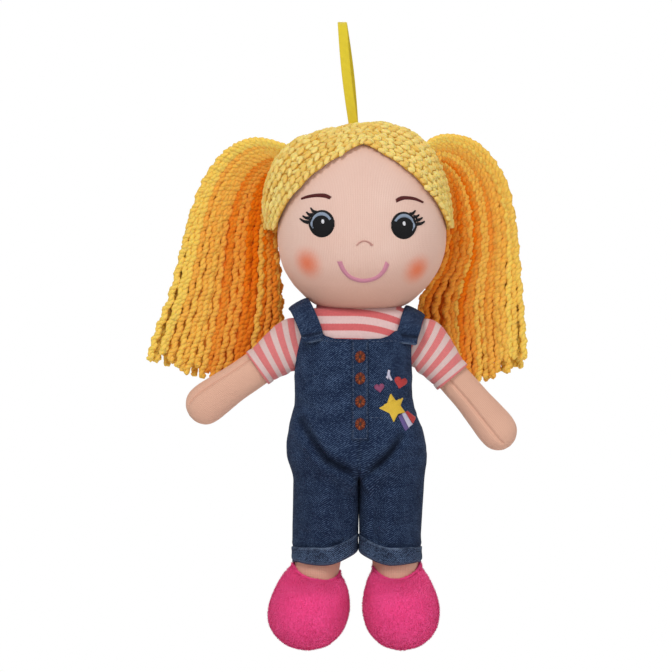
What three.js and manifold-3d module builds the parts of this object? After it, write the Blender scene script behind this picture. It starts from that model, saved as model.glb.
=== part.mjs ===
// Rag doll: a 30 cm stuffed cloth doll with yarn ponytails, a striped shirt and
// denim dungarees, hanging by a ribbon loop. Millimetres, +Z up, face towards -Y.
// The origin is the top of the hanging loop. Left and right are the viewer's: left is -X.
import * as THREE from 'three';
import { mergeVertices } from 'three/addons/utils/BufferGeometryUtils.js';
import Module from 'manifold-3d';

const wasm = await Module();
wasm.setup();

// Driving dimensions: the loop
const loopRise = 57.5;          // top of the loop above the crown of the hair
const loopLean = 9.5;           // the loop's top stands this far left of the doll's middle
const loopFootOffset = -3;      // its foot, from the doll's middle
const loopEye = 7;              // front-to-back opening for a hook
const ribbonWidth = 5.4;
const ribbonThickness = 0.8;

// Driving dimensions: head and hair
const headWidth = 95;
const headDepth = 78;
const headHeight = 98.5;
const headShift = 2.3;          // the head sits a little to the right of the body
const hairThickness = 5;
const hairlinePeak = 8.5;       // hairline below the skull's top at the middle
const hairlineSide = 62;        // and where it reaches the sides of the face
const hairlineBendReach = 43;   // the bend between them, from the middle
const hairlineBendDrop = 32;    // and below the skull's top
const hairNape = 84;            // lower edge of the hair at the back, below the skull's top
const sideSeam = 3;             // the seam between face and back panel, behind the middle
const tieReachShare = 0.783;    // ponytail bindings: how far out on the hair they sit
const tieDropShare = 0.152;     // and how far down the head
const tieBack = 5;
const tieRadius = 6.5;          // the gathered, bound root of a ponytail is a soft ball
const ponytailDrop = 124;       // binding to the lowest strands
const ponytailCrest = 11;       // the yarn rises this far above the binding
const ponytailSpread = { left: 42, right: 38 };  // outermost strand beyond the binding, at the bend
const ponytailReach = { left: 73, right: 47 };   // and at the ends
const ponytailTuck = { left: 5, right: 14 };     // the ends reach this far inwards of the binding
const ponytailHalfDepth = 12;
const ponytailBack = 26;        // the hanging end lies this far behind the middle

// Driving dimensions: face
const faceTilt = 1.6;           // degrees that the stitched face leans, right side lower
const eyeSpacing = 22.9;        // each eye from the head's middle
const eyeRise = 44.6;           // above the chin
const eyeHalfWidth = 7.1;
const eyeHalfHeight = 7.7;
const browRise = 60.5;
const browSpacing = 26.3;
const browRadius = 11;
const browWidth = 1.6;
const browSpan = 84;            // degrees of arc
const noseRise = 32.5;
const noseRadius = 4.6;
const noseWidth = 1;
const noseSpan = 140;
const mouthRise = 28;           // centre of the smile's arc above the chin
const mouthRadius = 15;
const mouthWidth = 1.8;
const mouthSpan = 140;
const stitchThickness = 0.6;

// Driving dimensions: body and clothes
const torsoHeight = 99;         // chin to crotch
const torsoHalfWidth = 39;      // at the hips, over the clothes
const torsoHalfDepth = 22;      // at the belly, over the clothes
const shoulderLift = 1.5;       // the shoulders stand above the chin
const denimThickness = 1.2;
const jerseyThickness = 0.9;
const skinThickness = 0.9;
const neckRise = 3;             // the nodding pivot above the chin
const neckRadius = 10;
const neckHole = 14.5;
const neckSeat = 4;             // the neck stands this deep in the body
const nodForward = 20;          // degrees, chin to chest
const bibTop = 19.7;            // bib edge below the chin, at the middle
const bibSide = 16.5;           // and at the straps
const bibHalfWidth = 34;
const armholeDrop = 39;         // the armholes end this far below the chin
const shirtHem = 66;            // hem of the shirt, under the dungarees
const strapWidth = 11.5;
const strapFoot = 26;           // strap's lower end from the middle
const strapHead = 35;           // and on the shoulder
const strapFootDrop = 18.5;     // lower end below the chin
const strapRise = 6;            // its line is drawn to this height above the chin
const strapThickness = 1.6;
const placketWidth = 10.4;
const placketLength = 57;
const placketThickness = 0.7;
const buttonCount = 4;
const buttonPitch = 12.8;
const buttonDrop = 29.3;        // first button below the chin
const buttonRadius = 3.05;
const buttonThickness = 0.8;
const starReach = 19.4;         // embroidered star from the middle
const starDrop = 56.7;          // and below the chin
const starRadius = 6.6;
const starTurn = 12;            // degrees that the star leans
const tailLength = 17;
const tailWidth = 6;
const heartRadius = 3.3;
const dotRadius = 2.2;

// Driving dimensions: arms
const shoulderReach = 36;       // shoulder pivots from the middle
const shoulderDrop = 21;        // and below the chin
const armLength = 75;           // pivot to finger tips
const handHalfWidth = 10.8;
const armHalfDepth = 8.7;
const sleeveLength = 25;
const sleeveRootRadius = 14.5;
const sleeveCuffHalf = 10.6;
const sleeveHalfDepth = 10;
const armDroop = { left: 34.5, right: 51.5 };    // degrees below level as photographed
const armLowest = 75;           // degrees below level
const armHighest = 20;          // degrees above level

// Driving dimensions: legs and shoes
const legSpacing = 18.6;        // each leg from the middle
const hipRise = 6;              // hip pivots above the crotch
const hipForward = 5;           // and in front of the middle
const hipRootRadius = 13.9;
const hipBack = 15;             // degrees that a leg swings back
const trouserHalfWidth = 17.8;
const trouserEndHalf = 16.2;
const trouserHalfDepth = 15.5;
const trouserLength = 47.5;     // crotch to the cuffs' lower edge
const cuffHeight = 9.7;
const cuffThickness = 1.4;
const kneeSpacing = 19.6;
const ankleSpacing = 21.6;
const ankleHalf = 12.6;
const shoeSpacing = 27;
const shoeHalfWidth = 23.2;
const shoeHalfDepth = 29;
const shoeForward = 12;         // middle of the shoe in front of the leg
const shoeHeight = 50;
const collarDepth = 12;         // how far the leg reaches into the shoe
const shoeGap = 0.8;            // cuffs' lower edge to the shoe's heel edge
const collarDip = 8;            // the shoe's edge is this much lower in front than behind
const plushThickness = 1.6;
const soleHeight = 7;

// Clearances
const seam = 0.3;               // between sewn neighbours
const swing = 0.6;              // between pieces that turn against each other
const overrun = 30;             // how far cutting solids run past what they cut
const weld = 0.00001;           // points nearer than this are one point
const fillet = 2;

// Levels and places worked out from the sizes
const crown = -loopRise;
const skullTop = crown - hairThickness;
const chin = skullTop - headHeight;
const crotch = chin - torsoHeight;
const hip = crotch + hipRise;
const trouserEnd = crotch - trouserLength;
const shoeTop = trouserEnd - shoeGap;
const shirtFace = -denimThickness - seam;
const skinFace = shirtFace - jerseyThickness - seam;
const stuffingFace = skinFace - skinThickness - seam;
const sides = [
  { side: 'left', sign: -1 },
  { side: 'right', sign: 1 },
];

// Finish of each cloth
const cloth = (color, roughness = 0.9) => new THREE.MeshStandardMaterial({ color, roughness, metalness: 0 });
const finish = {
  ribbon: cloth(0xf2cf1d, 0.6),
  skin: cloth(0xf0c3a8),
  capYarn: cloth(0xf6d070),
  ponytailYarn: cloth(0xf0a928),
  eyes: cloth(0x18181c, 0.6),
  brows: cloth(0x7a3b35, 0.7),
  smile: cloth(0xe0707f, 0.7),
  jersey: cloth(0xe79a92),
  denim: cloth(0x33475f),
  buttons: cloth(0x9a4a26, 0.7),
  gold: cloth(0xf2cd45, 0.6),
  red: cloth(0xd2453c, 0.7),
  lilac: cloth(0x9a82c4, 0.7),
  pale: cloth(0xdfe0f0, 0.7),
  plush: cloth(0xe7388a, 1),
  fibre: cloth(0xf4f2ec, 1),
};

// A closed three.js geometry as a solid for joining and cutting
function solid(geometry) {
  const bare = geometry.index ? geometry.clone() : geometry;
  bare.deleteAttribute('normal');
  bare.deleteAttribute('uv');
  const merged = mergeVertices(bare, weld);
  return new wasm.Manifold(new wasm.Mesh({
    numProp: 3,
    vertProperties: new Float32Array(merged.attributes.position.array),
    triVerts: new Uint32Array(merged.index.array),
  }));
}

const object = new THREE.Group();
const doll = new THREE.Group();
doll.position.x = loopLean;
object.add(doll);
const headGroup = new THREE.Group();
headGroup.position.set(headShift, 0, chin);
doll.add(headGroup);

// Adds a finished solid to a group as a named mesh
function piece(name, shape, material, group = doll) {
  const { vertProperties, triVerts } = shape.getMesh();
  const geometry = new THREE.BufferGeometry();
  geometry.setAttribute('position', new THREE.BufferAttribute(vertProperties, 3));
  geometry.setIndex(new THREE.BufferAttribute(triVerts, 1));
  const mesh = new THREE.Mesh(geometry, material);
  mesh.name = name;
  group.add(mesh);
  return mesh;
}

// A solid through level slices: each has a height, a centre, a half width, a half depth
// and a power, 2 for an ellipse and more for a squarer section.
// A half width of 0 closes the solid in a point. growth moves the whole surface outwards.
function slices(rows, segments, growth = 0) {
  const heights = rows.map((row) => row.z);
  const middle = (Math.max(...heights) + Math.min(...heights)) / 2;
  const halfHeight = (Math.max(...heights) - Math.min(...heights)) / 2;
  const position = [];
  const rings = rows.map((row) => {
    const z = middle + (row.z - middle) * (1 + growth / halfHeight);
    const count = row.half ? segments : 1;
    const start = position.length / 3;
    for (let i = 0; i < count; i += 1) {
      const angle = (2 * Math.PI * i) / segments;
      const bulge = 2 / (row.power ?? roundPower);
      const across = Math.sign(Math.cos(angle)) * Math.abs(Math.cos(angle)) ** bulge;
      const along = Math.sign(Math.sin(angle)) * Math.abs(Math.sin(angle)) ** bulge;
      const grown = row.half ? 1 : 0;
      position.push((row.x ?? 0) + grown * across * (row.half + growth));
      position.push((row.y ?? 0) + grown * along * (row.depth + growth), z);
    }
    return { start, count };
  });
  return closed(position, rings, segments);
}

// Joins rings of points, listed from the top down, into a closed solid
function closed(position, rings, segments) {
  const index = [];
  const at = (ring, i) => ring.start + (ring.count === 1 ? 0 : i % segments);
  for (let r = 0; r + 1 < rings.length; r += 1) {
    const [above, below] = [rings[r], rings[r + 1]];
    for (let i = 0; i < segments; i += 1) {
      if (above.count > 1) index.push(at(above, i), at(below, i), at(above, i + 1));
      if (below.count > 1) index.push(at(above, i + 1), at(below, i), at(below, i + 1));
    }
  }
  const [top, bottom] = [rings[0], rings[rings.length - 1]];
  for (let i = 1; i + 1 < segments; i += 1) {
    if (top.count > 1) index.push(at(top, 0), at(top, i), at(top, i + 1));
    if (bottom.count > 1) index.push(at(bottom, 0), at(bottom, i + 1), at(bottom, i));
  }
  const geometry = new THREE.BufferGeometry();
  geometry.setAttribute('position', new THREE.Float32BufferAttribute(position, 3));
  geometry.setIndex(index);
  return solid(geometry);
}

// Section powers: 2 is an ellipse, more is squarer
const roundPower = 2;
const headPower = 2.15;
const legPower = 2.3;
const torsoPower = 2.4;
const trouserPower = 2.6;

// A box between two corners
function block(low, high) {
  const size = [0, 1, 2].map((k) => high[k] - low[k]);
  const geometry = new THREE.BoxGeometry(...size);
  geometry.translate(...[0, 1, 2].map((k) => (high[k] + low[k]) / 2));
  return solid(geometry);
}

// A flat outline drawn in x and z, run from front to back between two depths
function throughDepth(shape, front, back, curveSegments = 8) {
  const depth = back - front;
  const geometry = new THREE.ExtrudeGeometry(shape, { depth, bevelEnabled: false, curveSegments });
  geometry.rotateX(Math.PI / 2);
  geometry.translate(0, back, 0);
  return solid(geometry);
}

// A flat outline drawn in y and z, run from left to right over a width
function throughWidth(shape, width, curveSegments = 8) {
  const geometry = new THREE.ExtrudeGeometry(shape, { depth: width, bevelEnabled: false, curveSegments });
  const alongX = new THREE.Matrix4().makeBasis(
    new THREE.Vector3(0, 1, 0), new THREE.Vector3(0, 0, 1), new THREE.Vector3(1, 0, 0));
  geometry.applyMatrix4(alongX);
  geometry.translate(-width / 2, 0, 0);
  return solid(geometry);
}

const outline = (points) => new THREE.Shape(points.map(([a, b]) => new THREE.Vector2(a, b)));

// A curved stitch line: a slice of a ring, centred on an angle
function arcBand(x, z, radius, width, middle, span) {
  const shape = new THREE.Shape();
  const [from, to] = [middle - span / 2, middle + span / 2].map(THREE.MathUtils.degToRad);
  shape.absarc(x, z, radius + width / 2, from, to, false);
  shape.absarc(x, z, radius - width / 2, to, from, true);
  return shape;
}

function disc(x, z, halfWidth, halfHeight = halfWidth) {
  const shape = new THREE.Shape();
  shape.absellipse(x, z, halfWidth, halfHeight, 0, 2 * Math.PI);
  return shape;
}

// Turns a solid about a line along x or y through a point
function turned(shape, axis, degrees, [x, y, z]) {
  const angles = { x: [degrees, 0, 0], y: [0, degrees, 0] }[axis];
  return shape.translate([-x, -y, -z]).rotate(angles).translate([x, y, z]);
}

// The head, in its own frame with the chin at zero
const headShares = [
  [1, 0, 0], [0.985, 0.24, 0.26], [0.93, 0.5, 0.53], [0.84, 0.72, 0.74], [0.72, 0.87, 0.88],
  [0.58, 0.96, 0.97], [0.44, 1, 1], [0.32, 0.985, 0.985], [0.21, 0.9, 0.91], [0.12, 0.75, 0.77],
  [0.05, 0.53, 0.56], [0.012, 0.28, 0.3], [0, 0, 0]];
const headSegments = 20;
const headRows = headShares.map(([rise, half, depth]) => ({
  z: rise * headHeight, half: (half * headWidth) / 2, depth: (depth * headDepth) / 2, power: headPower }));
const head = (growth = 0, segments = headSegments) => slices(headRows, segments, growth);
const neckBall = (growth) => {
  const ball = new THREE.SphereGeometry(neckRadius + growth, 12, 8);
  ball.translate(0, 0, neckRise);
  return solid(ball);
};
const wide = headWidth;
const beforeSeam = block([-wide, -wide, -wide], [wide, sideSeam - seam / 2, headHeight + wide]);
const behindSeam = block([-wide, sideSeam + seam / 2, -wide], [wide, wide, headHeight + wide]);
const upright = (radius, low, high, segments = 16) => {
  const post = new THREE.CylinderGeometry(radius, radius, high - low, segments);
  post.rotateX(Math.PI / 2);
  post.translate(0, 0, (high + low) / 2);
  return solid(post);
};
const neckOpening = upright(neckHole, -overrun, neckRise + fillet);
const headShell = head().subtract(head(-skinThickness)).subtract(neckOpening);
piece('head_front', headShell.intersect(beforeSeam), finish.skin, headGroup);
piece('head_back', headShell.intersect(behindSeam), finish.skin, headGroup);
const neckSocket = neckBall(swing).translate([-headShift, 0, 0]);
const fill = head(-skinThickness - seam, headSegments / 2).subtract(neckSocket).subtract(neckOpening);
piece('head_stuffing', fill, finish.fibre, headGroup);

// The hair cap: over the skull, open at the face and ending above the nape
const hairlineReach = headWidth / 2 + hairThickness;
const hairlineEnd = headHeight - hairlineSide;
const hairlineBend = headHeight - hairlineBendDrop;
const hairline = new THREE.Shape();
hairline.moveTo(-wide, hairlineEnd);
hairline.lineTo(-hairlineReach, hairlineEnd);
hairline.quadraticCurveTo(-hairlineBendReach, hairlineBend, 0, headHeight - hairlinePeak);
hairline.quadraticCurveTo(hairlineBendReach, hairlineBend, hairlineReach, hairlineEnd);
hairline.lineTo(wide, hairlineEnd);
hairline.lineTo(wide, -wide);
hairline.lineTo(-wide, -wide);
const faceOpening = throughDepth(hairline, -wide, sideSeam);
const belowNape = throughWidth(outline([
  [sideSeam - fillet, headHeight - hairlineSide], [headDepth / 3, headHeight - hairNape],
  [wide, headHeight - hairNape], [wide, -wide], [sideSeam - fillet, -wide]]), 2 * wide);
const cap = head(hairThickness).subtract(head(seam)).subtract(faceOpening).subtract(belowNape);
piece('hair_cap', cap, finish.capYarn, headGroup);

// The hanging loop: a ribbon folded double, its eye open from side to side, cut to the hair
const loopShares = [[0, 0], [0.05, 0.3], [0.5, 0.62], [0.95, 0.82], [0.8, 0.95], [0, 1]];
const legGap = ribbonThickness + seam;
const up = loopShares.map(([spread, rise]) => new THREE.Vector3(
  (loopLean + loopFootOffset) * (1 - rise),
  -(legGap / 2 + (spread * (loopEye + ribbonThickness - legGap)) / 2) * (rise === 1 ? 0 : 1),
  crown - fillet + rise * (loopRise + fillet - ribbonThickness / 2)));
const down = up.slice(0, -1).reverse().map((point) => new THREE.Vector3(point.x, -point.y, point.z));
const ribbonSection = outline([
  [-ribbonThickness / 2, -ribbonWidth / 2], [ribbonThickness / 2, -ribbonWidth / 2],
  [ribbonThickness / 2, ribbonWidth / 2], [-ribbonThickness / 2, ribbonWidth / 2]]);
const loop = new THREE.ExtrudeGeometry(ribbonSection, {
  steps: 40, bevelEnabled: false, extrudePath: new THREE.CatmullRomCurve3([...up, ...down]),
});
const hairBelow = head(hairThickness + swing).translate([loopLean + headShift, 0, chin]);
piece('hanging_loop', solid(loop).subtract(hairBelow), finish.ribbon, object);

// Ponytails: they leave the binding sideways, bend down and lie behind the arms.
// Each ring is set by its outer and its inner edge. Outwards, up to 1 is a share of the
// spread and more than 1 goes on towards the reach; upwards is a share of the crest and
// downwards of the drop. Inner edges go from the binding's side to the tuck, below zero.
const ponytailShares = [
  // outer out, outer up, inner out, inner up, back, depth
  [0, 0.55, 1, -0.048, 0, 0.5], [0.3, 0.95, 1.2, -0.073, 0.05, 0.75], [0.5, 1, 1, -0.105, 0.12, 0.9],
  [0.72, 0.55, 0.75, -0.145, 0.2, 1], [0.9, -0.024, 0.5, -0.195, 0.32, 1], [1, -0.13, 0.3, -0.25, 0.48, 1],
  [1.18, -0.26, 0.1, -0.34, 0.66, 1], [1.4, -0.445, -0.1, -0.485, 0.9, 1], [1.6, -0.63, -0.5, -0.645, 1, 1],
  [1.82, -0.79, -0.85, -0.8, 1, 1], [2, -0.92, -1, -0.945, 1, 0.85], [1.9, -0.985, -0.8, -1, 1, 0.45]];
const ponytailSegments = 14;
const rootGap = tieRadius + seam;
function ponytail(side, sign) {
  const spread = ponytailSpread[side];
  const outwards = (share) => Math.min(share, 1) * spread
    + Math.max(share - 1, 0) * (ponytailReach[side] - spread);
  const inwards = (share) => (share > 0 ? share * rootGap : share * ponytailTuck[side]);
  const upwards = (share) => (share > 0 ? share * ponytailCrest : share * ponytailDrop);
  const position = [];
  const rings = ponytailShares.map(([outerOut, outerUp, innerOut, innerUp, back, depth]) => {
    const start = position.length / 3;
    const outer = [Math.max(outwards(outerOut), rootGap), upwards(outerUp)];
    const inner = [inwards(innerOut), upwards(innerUp)];
    for (let i = 0; i < ponytailSegments; i += 1) {
      const angle = (2 * Math.PI * i * sign) / ponytailSegments;
      const share = (1 + Math.cos(angle)) / 2;
      position.push(sign * (inner[0] + share * (outer[0] - inner[0])));
      position.push(back * (ponytailBack - tieBack) + Math.sin(angle) * depth * ponytailHalfDepth);
      position.push(inner[1] + share * (outer[1] - inner[1]));
    }
    return { start, count: ponytailSegments };
  });
  return closed(position, rings, ponytailSegments);
}

for (const { side, sign } of sides) {
  const out = tieReachShare * (headWidth / 2 + hairThickness) + tieRadius;
  const place = [sign * out, tieBack, (1 - tieDropShare) * headHeight];
  const root = new THREE.Group();
  root.position.set(...place);
  headGroup.add(root);
  const scalp = head(hairThickness + seam).translate(place.map((value) => -value));
  const binding = solid(new THREE.SphereGeometry(tieRadius, ponytailSegments, 8));
  piece(`tie_${side}`, binding, finish.ponytailYarn, root);
  const socket = solid(new THREE.SphereGeometry(tieRadius + seam, ponytailSegments, 8));
  piece(`ponytail_${side}`, ponytail(side, sign).subtract(scalp).subtract(socket), finish.ponytailYarn, root);
}

// The embroidered face: thin raised stitches that follow the head, leaning about the nose
const faceLayer = head(seam + stitchThickness).subtract(head(seam));
const nosePoint = [0, 0, noseRise];
const onFace = (shape) => faceLayer.intersect(
  turned(throughDepth(shape, -wide, 0), 'y', faceTilt, nosePoint));
for (const { side, sign } of sides) {
  const eye = disc(sign * eyeSpacing, eyeRise, eyeHalfWidth, eyeHalfHeight);
  piece(`eye_${side}`, onFace(eye), finish.eyes, headGroup);
  const brow = arcBand(sign * browSpacing, browRise - browRadius, browRadius, browWidth, 90, browSpan);
  piece(`brow_${side}`, onFace(brow), finish.brows, headGroup);
}
const nose = arcBand(0, noseRise - noseRadius, noseRadius, noseWidth, 90, noseSpan);
piece('nose', onFace(nose), finish.smile, headGroup);
const mouth = arcBand(0, mouthRise, mouthRadius, mouthWidth, 270, mouthSpan);
piece('mouth', onFace(mouth), finish.smile, headGroup);

// The body under its clothes: every layer is the same form, grown or shrunk
const torsoShares = [
  // height below the shoulders, half width, half depth
  [0, 0.6, 0.5], [0.02, 0.78, 0.66], [0.06, 0.9, 0.8], [0.14, 0.92, 0.89],
  [0.4, 0.885, 0.98], [0.57, 0.885, 1], [0.7, 0.96, 1], [0.8, 1, 0.96], [1, 0.975, 0.8]];
const torsoSegments = 20;
const torsoRows = torsoShares.map(([fall, half, depth]) => ({
  z: chin + shoulderLift - fall * torsoHeight, half: half * torsoHalfWidth,
  depth: depth * torsoHalfDepth, power: torsoPower }));
const torso = (growth = 0, segments = torsoSegments) => slices(torsoRows, segments, growth);
const neckPoint = [0, 0, chin + neckRise];
const coarse = 10;              // sides of the plain forms that cut a space for a swinging neighbour
const slack = 1 / Math.cos(Math.PI / coarse) - 1;
const headPlaced = head(swing).translate([headShift, 0, chin]);
const far = torsoHeight;

// The legs swing in a space cut across the body: flat in front, round over the hip
const hipSpaceRadius = hipRootRadius + swing;
const frontLip = trouserHalfDepth - hipForward + swing;
const backLip = (trouserHalfDepth + hipForward) * Math.sin(THREE.MathUtils.degToRad(hipBack)) + swing;
const onHipSpace = (lip) => Math.asin(lip / hipSpaceRadius);
const hipSpace = new THREE.Shape();
hipSpace.moveTo(-far, hip + frontLip);
hipSpace.lineTo(-hipForward - Math.sqrt(hipSpaceRadius ** 2 - frontLip ** 2), hip + frontLip);
hipSpace.absarc(-hipForward, hip, hipSpaceRadius, Math.PI - onHipSpace(frontLip), onHipSpace(backLip), true);
hipSpace.lineTo(far, hip + backLip);
hipSpace.lineTo(far, hip - far);
hipSpace.lineTo(-far, hip - far);
const hips = throughWidth(hipSpace, 4 * torsoHalfWidth);

// Arms and sleeves are drawn hanging down from the shoulder and turned to their droop
const armRoot = sleeveRootRadius - jerseyThickness - swing * 1.5;
const domeShares = [[1, 0, 0], [0.87, 0.5, 0.62], [0.5, 0.87, 0.92], [0, 1, 1]];
const armShares = [[0.14, 0.97, 0.98], [0.24, 0.86, 0.95], [0.34, 0.8, 0.92], [0.56, 0.84, 0.94],
  [0.74, 0.96, 0.98], [0.86, 1, 1], [0.935, 0.83, 0.84], [0.985, 0.44, 0.5], [1, 0, 0]];
const armSegments = 12;
const dome = (radius, depth) => domeShares.map(([rise, half, deep]) => ({
  z: rise * radius, half: half * radius, depth: deep * depth }));
const armRows = [
  ...dome(armRoot, armHalfDepth),
  ...armShares.map(([fall, half, deep]) => ({
    z: -fall * armLength, half: half * handHalfWidth, depth: deep * armHalfDepth }))];
const arm = (growth, segments = armSegments) => slices(armRows, segments, growth);
const sleeveRows = (length) => [
  ...dome(sleeveRootRadius, sleeveHalfDepth),
  { z: -length / 2, half: (sleeveRootRadius + sleeveCuffHalf) / 2, depth: sleeveHalfDepth },
  { z: -length, half: sleeveCuffHalf, depth: sleeveHalfDepth }];
const sleeve = (length, growth, segments = armSegments) => slices(sleeveRows(length), segments, growth);
const shoulder = (sign) => [sign * shoulderReach, 0, chin - shoulderDrop];
const droop = (sign, degrees) => -sign * (90 - degrees);
const shoulderSpace = (sign) => {
  const slot = block([-far, -sleeveHalfDepth - swing, -far], [far, sleeveHalfDepth + swing, far]);
  const swept = sleeve(sleeveLength, swing + slack * sleeveRootRadius, coarse).intersect(slot);
  const lowered = swept.rotate([0, droop(sign, armLowest), 0]);
  const raised = swept.rotate([0, droop(sign, -armHighest), 0]);
  return lowered.add(raised).translate(shoulder(sign));
};
const neckSpace = upright(neckRadius - fillet + seam, chin - neckSeat - seam, chin + overrun)
  .add(neckBall(seam).translate([0, 0, chin]));
const cutters = [
  hips, neckSpace, headPlaced, turned(headPlaced, 'x', nodForward, neckPoint),
  ...sides.map(({ sign }) => shoulderSpace(sign))];
const clear = (shape) => cutters.reduce((left, cutter) => left.subtract(cutter), shape);

const neckStub = upright(neckRadius - fillet, chin - neckSeat, chin + neckRise)
  .add(neckBall(0).translate([0, 0, chin]));
piece('neck', neckStub, finish.skin);
piece('torso_stuffing', clear(torso(stuffingFace, torsoSegments / 2)), finish.fibre);
const shell = (shape, face, thickness) => shape(face).subtract(shape(face - thickness));
piece('torso_skin', clear(shell(torso, skinFace, skinThickness)), finish.skin);
const belowHem = block([-far, -far, crotch - far], [far, far, chin - shirtHem]);
piece('shirt', clear(shell(torso, shirtFace, jerseyThickness).subtract(belowHem)), finish.jersey);

// The dungarees above the legs: bib, armholes and back in one outline, split at the sides
const bib = new THREE.Shape();
bib.moveTo(-far, crotch - far);
bib.lineTo(far, crotch - far);
bib.lineTo(far, chin - armholeDrop);
bib.lineTo(bibHalfWidth, chin - armholeDrop);
bib.lineTo(bibHalfWidth, chin - bibSide);
bib.lineTo(strapFoot - strapWidth / 2, chin - bibSide);
bib.quadraticCurveTo(strapFoot / 3, chin - bibTop, 0, chin - bibTop);
bib.quadraticCurveTo(-strapFoot / 3, chin - bibTop, strapWidth / 2 - strapFoot, chin - bibSide);
bib.lineTo(-bibHalfWidth, chin - bibSide);
bib.lineTo(-bibHalfWidth, chin - armholeDrop);
bib.lineTo(-far, chin - armholeDrop);
const denim = clear(shell(torso, 0, denimThickness).intersect(throughDepth(bib, -far, far)));
const frontHalf = block([-far, -far, crotch - far], [far, -seam / 2, chin]);
const backHalf = block([-far, seam / 2, crotch - far], [far, far, chin]);
piece('overalls_front', denim.intersect(frontHalf), finish.denim);
piece('overalls_back', denim.intersect(backHalf), finish.denim);

// What is sewn on the dungarees lies over them as a thin raised layer
const layer = (low, thickness) => torso(low + thickness).subtract(torso(low));
const onFront = (shape, low, thickness) => layer(low, thickness).intersect(throughDepth(shape, -far, 0));
for (const { side, sign } of sides) {
  const strap = outline([
    [sign * (strapFoot + strapWidth / 2), chin - strapFootDrop],
    [sign * (strapFoot - strapWidth / 2), chin - strapFootDrop],
    [sign * (strapHead - strapWidth / 2), chin + strapRise],
    [sign * (strapHead + strapWidth / 2), chin + strapRise]]);
  const band = layer(seam, strapThickness).intersect(throughDepth(strap, -far, far));
  piece(`strap_${side}`, clear(band), finish.denim);
}
const placketTop = chin - bibTop - seam;
const placket = outline([
  [-placketWidth / 2, placketTop - placketLength], [placketWidth / 2, placketTop - placketLength],
  [placketWidth / 2, placketTop], [-placketWidth / 2, placketTop]]);
piece('placket', onFront(placket, seam, placketThickness), finish.denim);
const buttonFace = seam + placketThickness + seam;
for (let i = 0; i < buttonCount; i += 1) {
  const button = disc(0, chin - buttonDrop - i * buttonPitch, buttonRadius);
  piece(`button_${i + 1}`, onFront(button, buttonFace, buttonThickness), finish.buttons);
}

// The embroidered patch: a shooting star with its tail, a heart, a dot and a spark
function starShape(x, z, radius, turn) {
  const points = [];
  for (let i = 0; i < 10; i += 1) {
    const reach = i % 2 ? radius / 2 : radius;
    const angle = THREE.MathUtils.degToRad(90 + turn + i * 36);
    points.push([x + reach * Math.cos(angle), z + reach * Math.sin(angle)]);
  }
  return outline(points);
}
function heartShape(x, z, radius) {
  const shape = new THREE.Shape();
  shape.moveTo(x, z - radius);
  shape.quadraticCurveTo(x + radius * 1.5, z, x + radius * 0.7, z + radius * 0.8);
  shape.quadraticCurveTo(x + radius * 0.2, z + radius, x, z + radius * 0.4);
  shape.quadraticCurveTo(x - radius * 0.2, z + radius, x - radius * 0.7, z + radius * 0.8);
  shape.quadraticCurveTo(x - radius * 1.5, z, x, z - radius);
  return shape;
}
const starHeight = chin - starDrop;
const tailStart = starRadius * 0.75;
const tail = new THREE.Shape();
tail.moveTo(starReach + tailStart, starHeight - tailWidth / 3);
tail.quadraticCurveTo(starReach + tailStart + tailWidth, starHeight - tailWidth / 2,
  starReach + tailLength / 1.4, starHeight - tailLength / 1.4);
tail.lineTo(starReach + tailLength / 1.4 - tailWidth, starHeight - tailLength / 1.4);
tail.quadraticCurveTo(starReach + tailStart - tailWidth / 2, starHeight - tailStart - tailWidth / 2,
  starReach + tailStart - tailWidth / 2, starHeight - tailStart - seam);
const starSpace = starShape(starReach, starHeight, starRadius + seam * 2, starTurn);
const star = starShape(starReach, starHeight, starRadius, starTurn);
const heart = heartShape(starReach + starRadius * 0.6, starHeight + starRadius * 1.9, heartRadius);
const dot = disc(starReach - starRadius * 1.25, starHeight + starRadius * 1.5, dotRadius);
const spark = starShape(starReach - starRadius * 0.4, starHeight + starRadius * 2.5, dotRadius, 0);
piece('star', onFront(star, seam, stitchThickness), finish.gold);
piece('heart', onFront(heart, seam, stitchThickness), finish.red);
piece('dot', onFront(dot, seam, stitchThickness), finish.red);
piece('spark', onFront(spark, seam, stitchThickness), finish.pale);
const tailLayer = onFront(tail, seam, stitchThickness);
piece('star_tail', tailLayer.subtract(throughDepth(starSpace, -far, 0)), finish.lilac);

// Arms and sleeves in their places
for (const { side, sign } of sides) {
  const group = new THREE.Group();
  group.position.set(...shoulder(sign));
  group.rotation.y = THREE.MathUtils.degToRad(droop(sign, armDroop[side]));
  doll.add(group);
  const inside = sleeve(sleeveLength + overrun, -jerseyThickness);
  piece(`sleeve_${side}`, sleeve(sleeveLength, 0).subtract(inside), finish.jersey, group);
  const openTop = block([-far, -far, armRoot - 2 * skinThickness], [far, far, far]);
  piece(`arm_skin_${side}`, arm(0).subtract(arm(-skinThickness)).subtract(openTop), finish.skin, group);
  const fibre = arm(-skinThickness - seam, armSegments / 2).subtract(openTop);
  piece(`arm_stuffing_${side}`, fibre, finish.fibre, group);
}

// Legs: trousers, cuffs, cloth legs and shoes, all shaped in level slices
const legTop = hip + hipRootRadius + fillet;
const trouserLevels = [
  [legTop, trouserHalfWidth], [(legTop + trouserEnd) / 2, trouserHalfWidth],
  [trouserEnd + cuffHeight, trouserEndHalf], [trouserEnd, trouserEndHalf]];
const legSegments = 16;
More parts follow.
